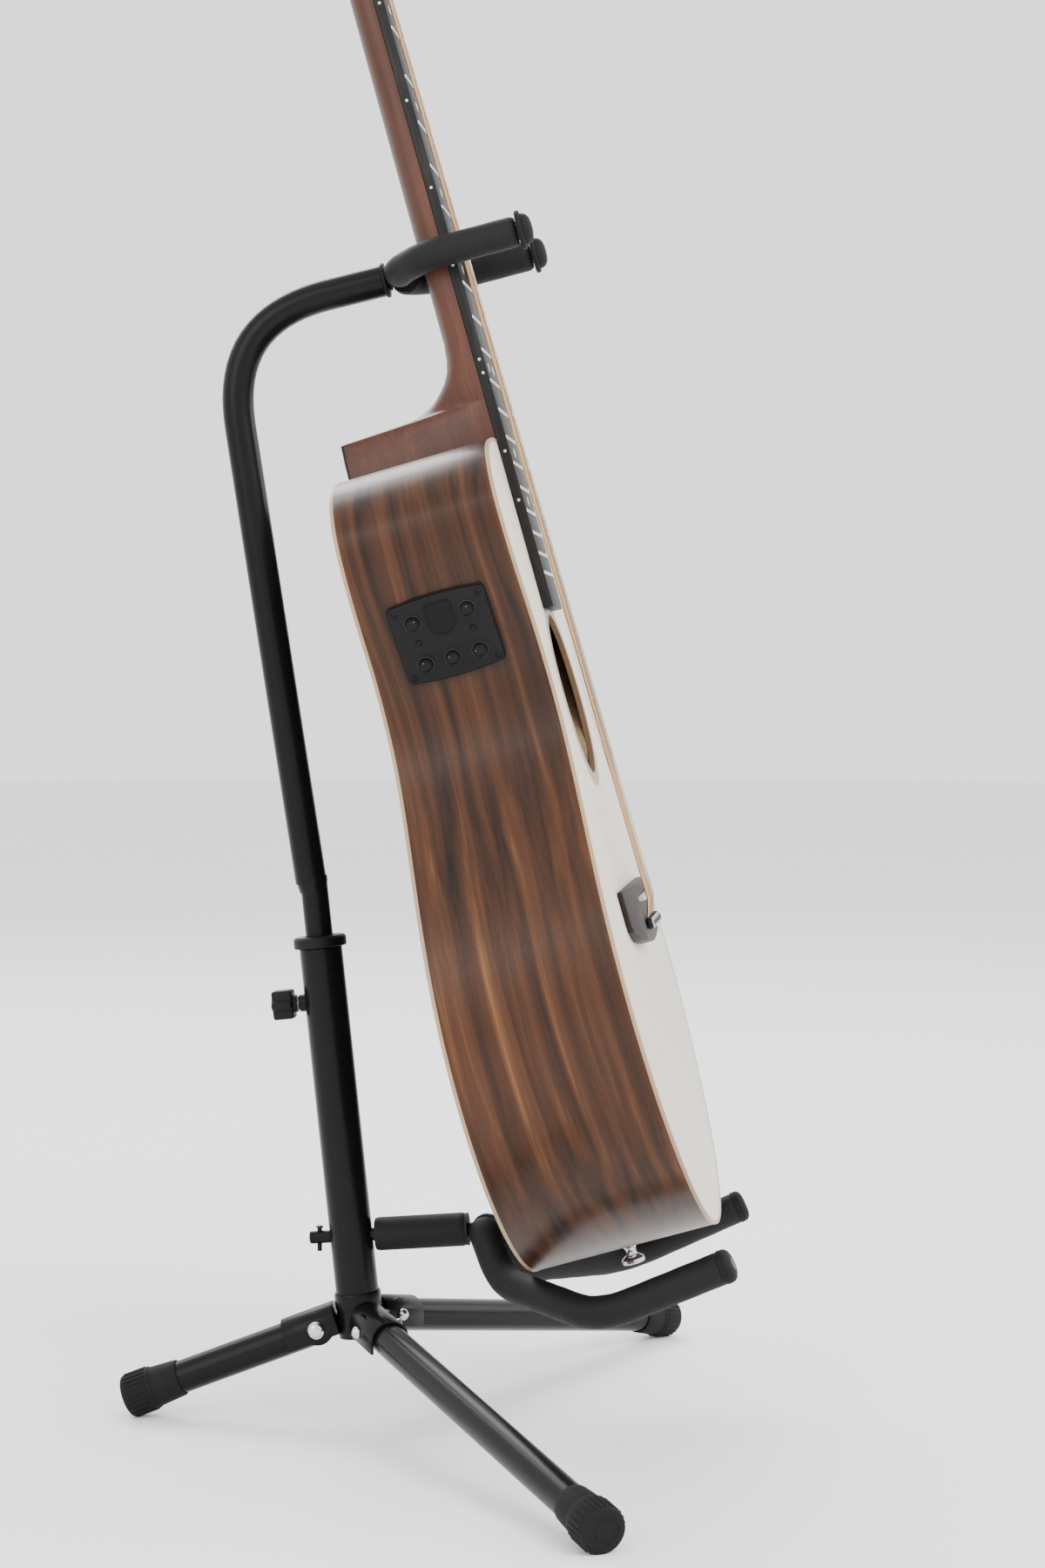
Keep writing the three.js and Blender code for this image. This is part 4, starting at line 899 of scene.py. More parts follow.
def make_neck():
    rings = [tidied(as_mesh(wire(neck_ring(*s), closed=True)), 0.0005) for s in neck_sections()]
    neck = joined(rings)
    edit(neck, "EDGE")
    bpy.ops.mesh.bridge_edge_loops(type="SINGLE")
    leave()
    edit(neck, "EDGE")
    bpy.ops.mesh.select_all(action="DESELECT")
    bpy.ops.mesh.select_non_manifold()
    bpy.ops.mesh.edge_face_add()
    leave()
    tidied(neck, 0.001)
    sliced(neck, (0, 0, HEEL_FOOT + HEEL_CAP), (0, 0, -1))
    return neck


def head_outline():
    start, wide, length = 21.5, 37, 178

    def bow(a, b, c):
        a, b, c = Vector(a), Vector(b), Vector(c)
        steps = [i / 10 for i in range(11)]
        return [a * (1 - t) ** 2 + b * 2 * t * (1 - t) + c * t * t for t in steps]

    left = [Vector((-start, -4)), *bow((-start, 0), (-start - 2, 16), (-wide + 2, 24)),
            *bow((-wide - 2, length - 10), (-wide / 2, length - 1), (0, length))]
    right = [Vector((-p.x, p.y)) for p in reversed(left[:-1])]
    return [tuple(p) for p in left + right]


def make_head():
    head = slab(head_outline(), -HEAD_THICK, 0)
    for x, y in tuner_places():
        cut(head, shift(cylinder(3.7, -20, 5, 20), x, y))
    bevelled(head, 0.8, 2, 50)
    settled(head, "headstock", HEAD, "guitar", "mahogany")
    face = slab([(x * 0.985, 5 + (y - 5) * 0.992) for x, y in head_outline() if y > -2], 0, 0.25)
    for x, y in tuner_places():
        cut(face, shift(cylinder(3.9, -5, 5, 20), x, y))
    settled(face, "headstock_face", HEAD, "guitar", "board")
    for i, (x, y) in enumerate(tuner_places()):
        ring = turned([(3.7, 0.1), (5.6, 0.1), (5.6, 0.6), (4.9, 1.2), (3.7, 1.2)], 32, closed=True)
        shift(ring, x, y)
        settled(ring, f"post_washer_{6 - i}", HEAD, "guitar", "chrome")


def make_neck_pieces():
    neck = make_neck()
    settled(neck, "neck_shaft", GUITAR, "guitar", "mahogany", "neck", smooth=70)
    cap = slab(heel_outline(), HEEL_FOOT, HEEL_FOOT + HEEL_CAP)
    bevelled(cap, 0.3, 2, 60)
    settled(cap, "heel_cap", GUITAR, "guitar", "heel_cap")


def heel_outline():
    """The heel's foot: nearly square at the body and rounded towards the back of the neck."""
    right = []
    for y, half, tall, power in neck_sections():
        if tall > -HEEL_FOOT:
            s = (-HEEL_FOOT / tall) ** (1 / power)
            right.append((half * sqrt(1 - s * s) ** power, y))
    return right + [(-x, y) for x, y in reversed(right)]


def make_fingerboard():
    sizes = bpy.context.scene.guitar_sizes
    board = block((-1, BOARD_END, CLEAR), (1, NUT_Y, BOARD))
    edit(board, "VERT")
    for end in (BOARD_END, NUT_Y):
        select(board, "verts", lambda v: abs(v.co.y - end) < 1)
        bpy.ops.transform.resize(value=(half_width(end), 1, 1), center_override=(0, 0, 0))
    leave()
    bevelled(board, 0.35, 2)
    settled(board, "fingerboard_blank", GUITAR, "guitar", "board", "fingerboard")

    crown = cylinder(sizes.fret_width / MM / 2, -1, 1, 20)
    moved(crown, turned_about("Y", 90))
    sliced(crown, (0, 0, 0), (0, 0, -1))
    edit(crown, "VERT")
    bpy.ops.transform.resize(value=(1, 1, 0.95), center_override=(0, 0, 0))
    leave()
    frets = []
    for number in range(1, 21):
        fret = copied(crown)
        y = fret_place(number)
        moved(fret, at(0, y, BOARD) @ Matrix.Diagonal((half_width(y) - 0.3, 1, 1, 1)))
        frets.append(bevelled(fret, 0.25, 2, 60))
    bpy.data.objects.remove(crown)
    settled(joined(frets), "frets", GUITAR, "guitar", "fret")

    dot_r = sizes.side_dot / MM / 2
    dot = turned([(0, -0.6), (dot_r, -0.6), (dot_r, 0.0), (dot_r * 0.84, 0.08), (0, 0.1)], 20)
    inlay = turned([(0, -0.3), (3, -0.3), (3, 0.02), (2.8, 0.06), (0, 0.06)], 28)
    dots, inlays = [], []
    for number in (3, 5, 7, 9, 12, 15, 17):
        middle = (fret_place(number) + fret_place(number - 1)) / 2
        for offset in (-4.2, 4.2) if number == 12 else (0,):
            y = middle + offset
            dots.append(at(-half_width(y), y, 3.4) @ turned_about("Y", -90))
            inlays.append(at(offset * 2.6, middle, BOARD))
    settled(repeated(dot, dots), "side_dots", GUITAR, "guitar", "pearl")
    settled(repeated(inlay, inlays), "face_dots", GUITAR, "guitar", "pearl")

    nut = block((-21.5, NUT_Y + CLEAR, CLEAR), (21.5, NUT_Y + NUT_LENGTH, BOARD + 1.8))
    for i in range(6):
        along = at(string_across(i, NUT_SPREAD), NUT_Y, BOARD + 2.5) @ turned_about("X", 90)
        cut(nut, moved(cylinder(0.75, -20, 20, 16), along))
    bevelled(nut, 0.3, 2, 60)
    settled(nut, "bone_nut", GUITAR, "guitar", "bone", "nut")


# ---- the bridge and the strings ----


def string_across(i, spread):
    return -spread / 2 + spread * i / 5


def make_bridge():
    front = SADDLE_Y + 9
    rear = front - 37
    shares = [i / 6 - 1 for i in range(13)]
    belly = [(58 * share, rear + 5.5 * abs(share) ** 1.6) for share in shares]
    left = [(-76, front), (-76, front - 21), (-73, front - 25)]
    right = [(-x, y) for x, y in reversed(left)]
    plan = [right[-1], *left, *belly, *right[:-1]]
    deck = slab(plan, CLEAR, BRIDGE_HEIGHT)
    for side in (-1, 1):
        sliced(deck, (side * 45, 0, BRIDGE_HEIGHT), (side * 0.16, 0, 1))
    slot = block((-35.5, SADDLE_Y - 1.8, BRIDGE_HEIGHT - 3), (35.5, SADDLE_Y + 1.8, BRIDGE_HEIGHT + 2))
    cut(deck, slot)
    bevelled(deck, 0.9, 3, 25)
    settled(deck, "bridge_plate", GUITAR, "guitar", "bridge", "bridge")

    saddle = block((-35.3, SADDLE_Y - 1.5, BRIDGE_HEIGHT - 2.6), (35.3, SADDLE_Y + 1.5, BRIDGE_HEIGHT + 4))
    bevelled(saddle, 0.7, 3)
    settled(saddle, "bone_saddle", GUITAR, "guitar", "bone", "saddle")

    pin = turned([(0, -2), (2.4, -2), (2.6, 0.4), (3.7, 0.9), (3.8, 2.1),
                  (3.0, 4.0), (1.9, 4.9), (0, 5.2)], 28)
    ring = turned([(2.75, 3.95), (3.2, 3.9), (3.1, 4.3), (2.6, 4.5)], 24, closed=True)
    places = [at(string_across(i, BRIDGE_SPREAD), PIN_Y, BRIDGE_HEIGHT) for i in range(6)]
    settled(repeated(pin, places), "bridge_pins", GUITAR, "guitar", "knob")
    settled(repeated(ring, places), "bridge_pin_rings", GUITAR, "guitar", "pearl")


def tuner_places():
    """Where the posts stand, from the sixth string's to the first's."""
    return [(-TUNER_X, y) for y in TUNER_ROWS] + [(TUNER_X, y) for y in reversed(TUNER_ROWS)]


def make_strings():
    turns = bpy.context.scene.guitar_sizes.string_turns
    to_guitar = GUITAR.inverted() @ HEAD
    for i, gauge in enumerate(GAUGES):
        r = gauge / 2
        lift = r + CLEAR
        x0, x1 = string_across(i, BRIDGE_SPREAD), string_across(i, NUT_SPREAD)
        px, py = tuner_places()[i]
        side = -1 if px < 0 else 1
        wrap = 3.2 + r  # round the post
        route = [
            Vector((x0, PIN_Y + 3.2, BRIDGE_HEIGHT + 1.2)),
            Vector((x0, PIN_Y + 6.5, BRIDGE_HEIGHT + lift + 1.6)),
            Vector((x0, SADDLE_Y - 1.5, BRIDGE_HEIGHT + 4 + r)),
            Vector((x0, SADDLE_Y, BRIDGE_HEIGHT + 4.1 + r)),
            Vector((x0, SADDLE_Y + 1.5, BRIDGE_HEIGHT + 4 + r)),
            Vector((x1, NUT_Y, BOARD + 1.8 + r)),
            Vector((x1, NUT_Y + NUT_LENGTH, BOARD + 1.8 + r)),
        ]
        for k in range(int(turns * 16) + 1):
            turn = k / 16
            a = (pi if side > 0 else 0) - side * 2 * pi * turn
            point = Vector((px + wrap * cos(a), py + wrap * sin(a), 4.9 - gauge * 0.945 * turn))
            route.append(to_guitar @ point)
        number = 6 - i
        settled(rod(route, r, round_by=3), f"string_wire_{number}", GUITAR, "guitar",
                "bronze" if i < WOUND else "plain", f"string_{number}", smooth=60)


def make_tuners():
    back = -HEAD_THICK - CLEAR
    reach = 30  # from a post's axis to the middle of its button
    for side, name in ((-1, "bass"), (1, "treble")):
        x = TUNER_X * side
        plate = block((x - 7, TUNER_ROWS[0] - 9, back - 1.4), (x + 7, TUNER_ROWS[-1] + 9, back))
        pieces = [bevelled(plate, 0.6, 2)]
        for y in TUNER_ROWS:
            house = block((x - 6, y - 8, back - 10), (x + 6, y + 8, back - 1))
            pieces.append(bevelled(house, 1.8, 3))
            post = turned([(0, back - 1), (3.2, back - 1), (3.2, 2), (2.7, 3), (2.7, 7),
                           (3.2, 8), (2.9, 9), (0, 9)], 28)
            pieces.append(shift(post, x, y))
        settled(joined(pieces), f"tuner_housings_{name}", HEAD, "guitar", "chrome",
                f"tuner_plate_{name}")
    for i, (x, y) in enumerate(tuner_places()):
        side = -1 if x < 0 else 1
        axle = at(x, y, back - 5) @ turned_about("Y", 90 * side)
        shaft = moved(cylinder(1.8, 6.2, reach - 3, 20), axle)
        ferrule = turned([(0, 20), (3, 20), (3, 22), (2.2, 24), (0, 24)], 24)
        button = ball((6.5, 9.5, 3.4), (x + side * reach, y, back - 5))
        number = 6 - i
        settled(joined([shaft, moved(ferrule, axle), button]), f"tuner_key_{number}", HEAD,
                f"tuner_{number}_body", "chrome", f"tuner_button_{number}")


def make_end_pin():
    pin = turned([(0, -16), (3.2, -16), (3.2, 0.1), (6.2, 0.1), (6.0, 1.0), (4.6, 1.8), (3.6, 2.8),
                  (3.3, 5), (3.7, 7), (6.6, 9.0), (7.2, 9.8), (7.2, 11.6), (6.6, 12.4), (4, 13),
                  (0, 13.2)], 40)
    settled(moved(pin, END_PIN), "strap_pin", GUITAR, "guitar", "chrome", "end_pin")


# ---- the preamp ----
PLATE_TOP = 4.0
COLUMN = 16.4
KNOBS = ((-COLUMN, 12), (COLUMN, 12), (-COLUMN, -13.7), (0, -13.7), (COLUMN, -13.7))
WINDOW_Y = 11
SCREW_X, SCREW_Y = 25.4, 19.8


def flat(*pairs):
    return [(x, y, 0) for x, y in pairs]


def preamp_outline(w, h, corner, arch):
    """A plate with rounded corners, its top and foot arched, as Bezier points."""
    third = 1 / 3

    def arc(a, control, b):
        a, control, b = Vector(a), Vector(control), Vector(b)
        return a + (control - a) * 2 * third, b + (control - b) * 2 * third

    x, y = w - corner, h - corner
    stops = flat((-x, -h), (x, -h), (w, -y), (w, y), (x, h), (-x, h), (-w, y), (-w, -y))
    low_right, high_right, high_left, low_left = flat((w, -h), (w, h), (-w, h), (-w, -h))
    foot, head = flat((0, -h - arch), (0, h + arch))
    controls = [foot, low_right, None, high_right, head, high_left, None, low_left]
    rights, lefts = {}, {}
    for i, control in enumerate(controls):
        j = (i + 1) % len(stops)
        a, b = Vector(stops[i]), Vector(stops[j])
        rights[i], lefts[j] = arc(a, control, b) if control else (a.lerp(b, third), b.lerp(a, third))
    return [(stops[i], lefts[i], rights[i]) for i in range(len(stops))]


def window_outline(grow):
    """The window: square-shouldered above and rounded below, as Bezier points."""
    w, h = 7.4 + grow, 9.3 + grow
    return [flat((-w, -3.5), (-w, h - 3), (-w, 2 - h)),
            flat((0, -h), (-w * 0.55, -h), (w * 0.55, -h)),
            flat((w, -3.5), (w, 2 - h), (w, h - 5)),
            flat((w, h - 2.6), (w, h - 4), (w, h - 1)),
            flat((w - 2.6, h), (w - 1, h), (w - 5, h)),
            flat((2.6 - w, h), (5 - w, h), (1 - w, h)),
            flat((-w, h - 2.6), (-w, h - 1), (-w, h - 4))]


def plate_slab(outline, low, high, steps=8):
    return slab(None, low, high, wire(None, closed=True, bezier=outline, steps=steps))


def make_preamp():
    cover = plate_slab(preamp_outline(29, 23.5, 4, 3.4), 1.6, PLATE_TOP, 10)
    bevelled(cover, 0.7, 3, 50)
    box = block((-24, -18.5, -32), (24, 18.5, 2.1))
    cover = combined(cover, box)
    for x in (-COLUMN, COLUMN):
        cut(cover, shift(cylinder(1.8, PLATE_TOP - 1.6, PLATE_TOP + 2, 24), x))
    settled(cover, "preamp_cover", PREAMP, "guitar", "plastic", "preamp_case")

    seat = plate_slab(preamp_outline(29.6, 24.1, 4.2, 3.4), 0.4, 1.7, 10)
    inner = plate_slab(preamp_outline(27.4, 21.9, 2.5, 2.4), -2, 4, 10)
    settled(cut(seat, inner), "preamp_gasket", PREAMP, "guitar", "rubber")

    glass = shift(plate_slab(window_outline(0), PLATE_TOP + 0.05, PLATE_TOP + 0.5), y=WINDOW_Y)
    bevelled(glass, 0.12, 2, 50)
    settled(glass, "preamp_lens", PREAMP, "guitar", "lens", "preamp_window")
    rim = plate_slab(window_outline(0.7), PLATE_TOP - 0.2, PLATE_TOP + 0.8)
    hollow = plate_slab(window_outline(0.1), PLATE_TOP - 1, PLATE_TOP + 2)
    rim = shift(bevelled(cut(rim, hollow), 0.2, 2, 50), y=WINDOW_Y)
    settled(rim, "preamp_window_rim", PREAMP, "guitar", "knob")



def make_controls():
    knob = turned([(0, 0), (4.1, 0), (4.1, 2.6), (3.8, 3.1), (3.4, 3.15), (3.3, 2.8), (3.1, 2.8),
                   (3.05, 3.5), (2.6, 3.85), (1.4, 3.98), (0, 4.0)], 40)
    collar = turned([(4.2, -0.02), (5.2, -0.02), (5.2, 0.35), (4.9, 0.5), (4.4, 0.45), (4.2, 0.2)],
                    40, closed=True)
    line = block((-0.18, 1.2, 3.1), (0.18, 2.7, 3.9))
    for i, (x, y) in enumerate(KNOBS, 1):
        place = at(x, y, PLATE_TOP + CLEAR)
        body = f"control_{i}_body"
        own = moved(copied(knob), place)
        settled(own, f"preamp_knob_{i}", PREAMP, body, "knob", f"control_{i}")
        mark = moved(copied(line), place @ turned_about("Z", 25 * i - 60))
        settled(mark, f"preamp_knob_mark_{i}", PREAMP, body, "mark")
        ring = shift(copied(collar), x, y, PLATE_TOP)
        settled(ring, f"preamp_knob_ring_{i}", PREAMP, "guitar", "ring")
    for piece in (knob, collar, line):
        bpy.data.objects.remove(piece)

    for i, x in enumerate((-COLUMN, COLUMN), 1):
        push = shift(turned([(0, -0.7), (1.5, -0.7), (1.5, 0.9), (1.2, 1.25), (0, 1.3)], 28), x, 0, PLATE_TOP)
        settled(push, f"preamp_push_{i}", PREAMP, f"push_button_{i}_body", "knob",
                f"push_button_{i}")

    head = turned([(0, -0.3), (1.5, -0.3), (1.5, 0.15), (1.1, 0.5), (0, 0.6)], 24)
    cut(head, block((-1.0, -0.18, 0.25), (1.0, 0.18, 1.5)))
    cut(head, block((-0.18, -1.0, 0.25), (0.18, 1.0, 1.5)))
    cup = turned([(1.6, -0.2), (2.3, -0.2), (2.3, 0.12), (2.0, 0.3), (1.6, 0.1)], 24, closed=True)
    corners = [at(x, y, PLATE_TOP) for x in (-SCREW_X, SCREW_X) for y in (-SCREW_Y, SCREW_Y)]
    screws = repeated(joined([head, cup]), corners)
    settled(screws, "preamp_screws", PREAMP, "guitar", "knob")


# ---- the stand ----


def make_mast():
    bore = MAST_R - 1.5
    tube = turned([(bore, 0), (MAST_R, 0), (MAST_R, MAST_LENGTH - 0.4), (MAST_R - 0.4, MAST_LENGTH),
                   (bore, MAST_LENGTH)], 56, closed=True)
    clamp_up = (CLAMP_Z - MAST_FOOT) / cos(radians(LEAN))
    boss = turned([(0, 12.2), (5.5, 12.2), (5.5, 15.9), (4.9, 16.7), (0, 16.7)], 32)
    moved(boss, at(0, 0, clamp_up) @ turned_about("X", -90))
    settled(combined(tube, boss), "mast", on_mast(MAST_FOOT), "stand", "coat", "mast_tube")


def leg_pivot(name):
    """The pivot of a leg on the hub, with X out along the leg's heading."""
    return on_mast(HUB_Z) @ turned_about("Z", LEGS[name][0]) @ at(PIVOT)


def make_hub():
    """Core, socket and three saddle brackets, one over each leg."""
    bore = MAST_R + CLEAR
    hub = turned([(0, -7.5), (14, -7.5), (14, BRACKET - SHEET - 1), (14.5, BRACKET - SHEET), (14.5, 19.2),
                  (14.1, 20.1), (bore, 20.1), (bore, BRACKET - 2), (0, BRACKET - 2)], 56)
    for heading, drop in LEGS.values():
        tilt = turned_about("Z", heading) @ at(PIVOT) @ turned_about("Y", drop) @ at(-13)
        laid = tilt @ turned_about("Y", 90)
        saddle = moved(slab(saddle_section(BRACKET, 7), 0, 34), laid)
        hollow = moved(slab(saddle_section(BRACKET - SHEET, 37), 2, 47), laid)
        combined(hub, cut(saddle, hollow))
    bevelled(hub, 0.5, 2, 45)
    settled(hub, "hub", on_mast(HUB_Z), "stand", "coat", "leg_hub")


def saddle_section(r, down):
    """A round-topped block seen along the leg, reaching so far down, as a closed outline."""
    arch = [pi * i / 20 for i in range(21)]
    return [(down, r), *((-r * sin(a), r * cos(a)) for a in arch), (down, -r)]


def make_leg(name):
    place = leg_pivot(name) @ turned_about("Y", LEGS[name][1])
    along = (place.to_3x3() @ Vector((1, 0, 0))).normalized()
    pivot_z = place.translation.z / MM
    length = (pivot_z + 1.2 - 13.8 * sqrt(1 - along.z**2)) / -along.z
    laid = turned_about("Y", 90)
    tube = moved(cylinder(LEG_R, 0, length - 6, 48), laid)
    combined(tube, moved(cylinder(LEG_R, -8.7, 8.7, 48), turned_about("X", 90)))
    cut(tube, moved(cylinder(3.4, -20, 20, 24), turned_about("X", 90)))
    body = f"leg_{name}_body"
    settled(tube, f"leg_tube_{name}", place, body, "coat", f"leg_{name}")

    rim = bpy.context.scene.stand_sizes.foot / MM / 2
    inner = LEG_R + CLEAR
    back = length - 37
    mid = back + 17
    profile = [(inner, back), (11.0, back), (11.4, back + 0.5), (11.7, back + 4), (12.6, mid),
               (12.5, mid + 0.5), (rim - 0.7, mid + 1), (rim - 0.4, mid + 2), (rim - 0.4, length - 2.2),
               (rim - 1.0, length - 0.8), (rim - 2.4, length), (8.6, length), (8.4, length - 0.35),
               (5.6, length - 0.35), (5.4, length), (0, length), (0, length - 5.7),
               (inner, length - 5.7), (inner, back)]
    rib = bevelled(block((mid + 3, -0.8, rim - 1.6), (length - 2.6, 0.8, rim + 0.25)), 0.6, 3)
    ribs = repeated(rib, [turned_about("X", 360 / RIBS * k) for k in range(RIBS)])
    foot = joined([moved(turned(profile, 72), laid), ribs])
    floor = place.inverted()
    sliced(foot, floor.translation, (floor.to_3x3() @ Vector((0, 0, -1))).normalized())
    settled(foot, f"foot_boot_{name}", place, body, "rubber", f"foot_{name}")

    wall = BRACKET + CLEAR
    big = 5.5 if name == "rear" else 3.9
    bolt = turned([(0, -wall - 3.2), (3.2, -wall - 3.2), (3.6, -wall - 2.8), (3.6, -wall), (3, -wall),
                   (3, wall), (big, wall), (big, wall + 0.5), (big - 0.4, wall + 1.6),
                   (big - 1.6, wall + 2.8), (big * 0.36, wall + 3.4), (0, wall + 3.6)], 36)
    face_on = -90 if name == "rear" else 90
    moved(bolt, turned_about("X", face_on))
    settled(bolt, f"leg_bolt_{name}", leg_pivot(name), "stand", "chrome", f"pivot_bolt_{name}")


def make_collar():
    bore, plug, rim = 8.9, 11.4, 16.3
    collar = turned([(bore, -24), (plug, -24), (plug, 0), (rim - 0.5, 0), (rim, 0.5), (rim, 5.6),
                     (rim - 1.2, 6.8), (rim - 3, 7), (bore + 1, 7), (bore, 6.2)], 56, closed=True)
    place = on_mast(MAST_FOOT) @ at(0, 0, MAST_LENGTH + CLEAR)
    settled(collar, "mast_collar", place, "stand", "plastic", "collar")


def make_clamp_knob():
    points = []
    for i in range(96):
        a = 2 * pi * i / 96
        r = 8.8 + 1.2 * cos(LOBES * a)
        points.append((r * cos(a), r * sin(a)))
    grip = bevelled(slab(points, 20.2, 33.2), 1.4, 3, 50)
    hub = turned([(0, 18.0), (5.2, 18.0), (5.8, 20.4), (0, 20.4)], 36)
    dish = turned([(0, 33.0), (5.4, 33.0), (5.2, 33.5), (4.4, 33.8), (0, 33.9)], 36)
    knob = joined([grip, hub, dish])
    place = on_mast(CLAMP_Z) @ turned_about("X", -90)
    settled(knob, "clamp_grip", place, "height_clamp", "plastic", "clamp_knob")
    thread = turned([(2.4, 16.9), (2.7, 17.05), (2.4, 17.2)], 28, closed=True)
    threads = repeated(thread, [at(0, 0, 0.3 * k) for k in range(5)])
    screw = joined([cylinder(2.5, 8.9, 20.4, 28), threads])
    settled(screw, "clamp_screw", place, "height_clamp", "steel")


def make_upper_tube():
    swage = mast_point(SWAGE_Z)
    corner = Vector((0, 127.606, 680.8))
    start = swage + Vector((0, 1.3, -2))
    route = bent([start, corner, TUBE_END], [66], 28)
    tube = rod(stretch_of(route, 0, 1, 6), UPPER_R, round_by=14)
    lower = rod([mast_point(164.3), swage], 8.4, round_by=14)
    neck_r = UPPER_R - 0.1
    swell = turned([(8.2, -8), (8.5, -7), (neck_r, -1.5), (neck_r, 2), (0, 2), (0, -8)], 48)
    moved(swell, at(0, 0.9) @ WORLD.inverted() @ on_mast(SWAGE_Z))
    whole = joined([tube, lower, swell])
    settled(whole, "gooseneck", WORLD, "upper_stand", "coat", "upper_tube")

    rim = UPPER_R + 1.1
    bush = turned([(4.5, -12), (8, -12), (8, 0.3), (rim - 0.5, 0.3), (rim, 0.7), (rim, 2),
                   (rim - 0.5, 2.4), (6.4, 2.4), (5.8, 3.0), (4.5, 3.0)], 48, closed=True)
    settled(bush, "gooseneck_bush", BUSH, "upper_stand", "plastic", "tube_bush")


def yoke_route():
    half = [(YOKE_HALF, 0, YOKE_LENGTH), (YOKE_HALF, 0, 33), (14, 0, 11)]
    mirrored = [(-x, y, z) for x, y, z in reversed(half)]
    return bent(half + mirrored, [14, 9, 9, 14], 12)


def sleeve(route, start, end, radius):
    """A foam sleeve along a route, a little uneven, its two ends rounded over."""
    points = stretch_of(route, start, end, 1.6)
    swell = [1.0 + 0.006 * sin(i * 0.55) for i in range(len(points))]
    swell[0] = swell[-1] = 0.86
    swell[1] = swell[-2] = 0.965
    return rod(points, radius, round_by=12, swell=swell)


def make_yoke():
    sizes = bpy.context.scene.stand_sizes
    route = yoke_route()
    total = sum((b - a).length for a, b in zip(route, route[1:]))
    bar = rod(stretch_of(route, 0, 1, 3), ROD_R, round_by=8)
    stem = cylinder(3.8, -14, 11, 32)
    washer = turned([(0, 2.9), (7.2, 2.9), (7.2, 3.9), (6.6, 4.3), (0, 4.3)], 36)
    weld = ball((5.6, 5.2, 3.6), (0, 0, 8.6), 24, 12)
    settled(joined([bar, stem, washer, weld]), "yoke_bar", YOKE, "yoke", "coat", "yoke_rod")
    middle = 9.2 / total
    for side, start, end in (("right", 0.004, 0.5 - middle), ("left", 0.5 + middle, 0.996)):
        grip = sleeve(route, start, end, sizes.foam / MM / 2 - SLIDE_ROOM)
        settled(grip, f"yoke_foam_{side}", YOKE, "yoke", "foam", f"yoke_grip_{side}")
    rim = sizes.cap / MM / 2
    for side, x in (("left", -YOKE_HALF), ("right", YOKE_HALF)):
        cap = turned([(0, 0), (rim - 0.4, 0), (rim, 0.5), (rim, 2.2), (rim - 0.4, 2.7), (rim - 2.2, 3.0),
                      (rim - 2.2, 3.4), (rim - 2.6, 5.0), (rim - 3.6, 6.6), (rim - 5.5, 7.9),
                      (rim - 8.4, 8.5), (0, 8.6)], 48)
        shift(cap, x, 0, YOKE_LENGTH + CLEAR)
        settled(cap, f"yoke_end_{side}", YOKE, "yoke", "rubber", f"yoke_cap_{side}")


def cradle_rod_point(forward):
    rise = (forward + mast_point(CRADLE_Z).y - MAST_Y) * tan(radians(CRADLE_RISE))
    return ahead(0, forward, CRADLE_Z + rise)


def make_cradle():
    sizes = bpy.context.scene.stand_sizes
    shoulder = cradle_rod_point(80)
    half = [ahead(104, 237, 122.5), ahead(95, 158, 87.3), ahead(24, 94, 93.3),
            Vector((7, shoulder.y, shoulder.z))]
    mirrored = [Vector((-p.x, p.y, p.z)) for p in reversed(half)]
    route = bent(half + mirrored, [22, 15, 9, 9, 15, 22], 12)
    bar = rod(stretch_of(route, 0, 1, 4), ROD_R, round_by=8)
    stem = rod([cradle_rod_point(d) for d in (-29, -28.4, 78)], ROD_R, round_by=8, swell=[0.82, 1, 1])
    settled(joined([bar, stem]), "cradle_bar", WORLD, "stand", "coat", "cradle_rod")
    pin = turned([(0, -8.5), (1.5, -8.5), (1.5, 6), (2.3, 6), (2.3, 6.8), (1.4, 7.2), (0, 7.2)], 24)
    moved(pin, at(*cradle_rod_point(-23)))
    settled(pin, "cradle_stop_pin", WORLD, "stand", "coat", "cradle_pin")
    inside = stretch_of([cradle_rod_point(12.5), cradle_rod_point(70)], 0, 1, 1.6)
    spacer = rod(inside, 10.3, round_by=14, swell=[0.94] + [1] * 34 + [0.94])
    settled(spacer, "cradle_collar", WORLD, "stand", "foam", "cradle_spacer")
    radius = sizes.foam / MM / 2
    for side, start, end in (("right", 0.012, 0.486), ("left", 0.514, 0.988)):
        grip = sleeve(route, start, end, radius)
        settled(grip, f"cradle_foam_{side}", WORLD, "stand", "foam", f"cradle_grip_{side}")
        tip, inner = (route[0], route[1]) if side == "right" else (route[-1], route[-2])
        out = (tip - inner).normalized()
        rim = radius + 0.35
        cap = turned([(0, -7.5), (radius - 0.1, -7.5), (rim, -7.0), (rim, -4.6), (radius + 0.1, -4.3),
                      (radius + 0.3, -4.0), (radius - 0.1, -2.6), (radius - 1.4, -1.2),
                      (radius - 4, -0.2), (0, 0)], 48)
        moved(cap, at(*tip) @ out.to_track_quat("Z", "Y").to_matrix().to_4x4())
        settled(cap, f"cradle_end_{side}", WORLD, "stand", "rubber")


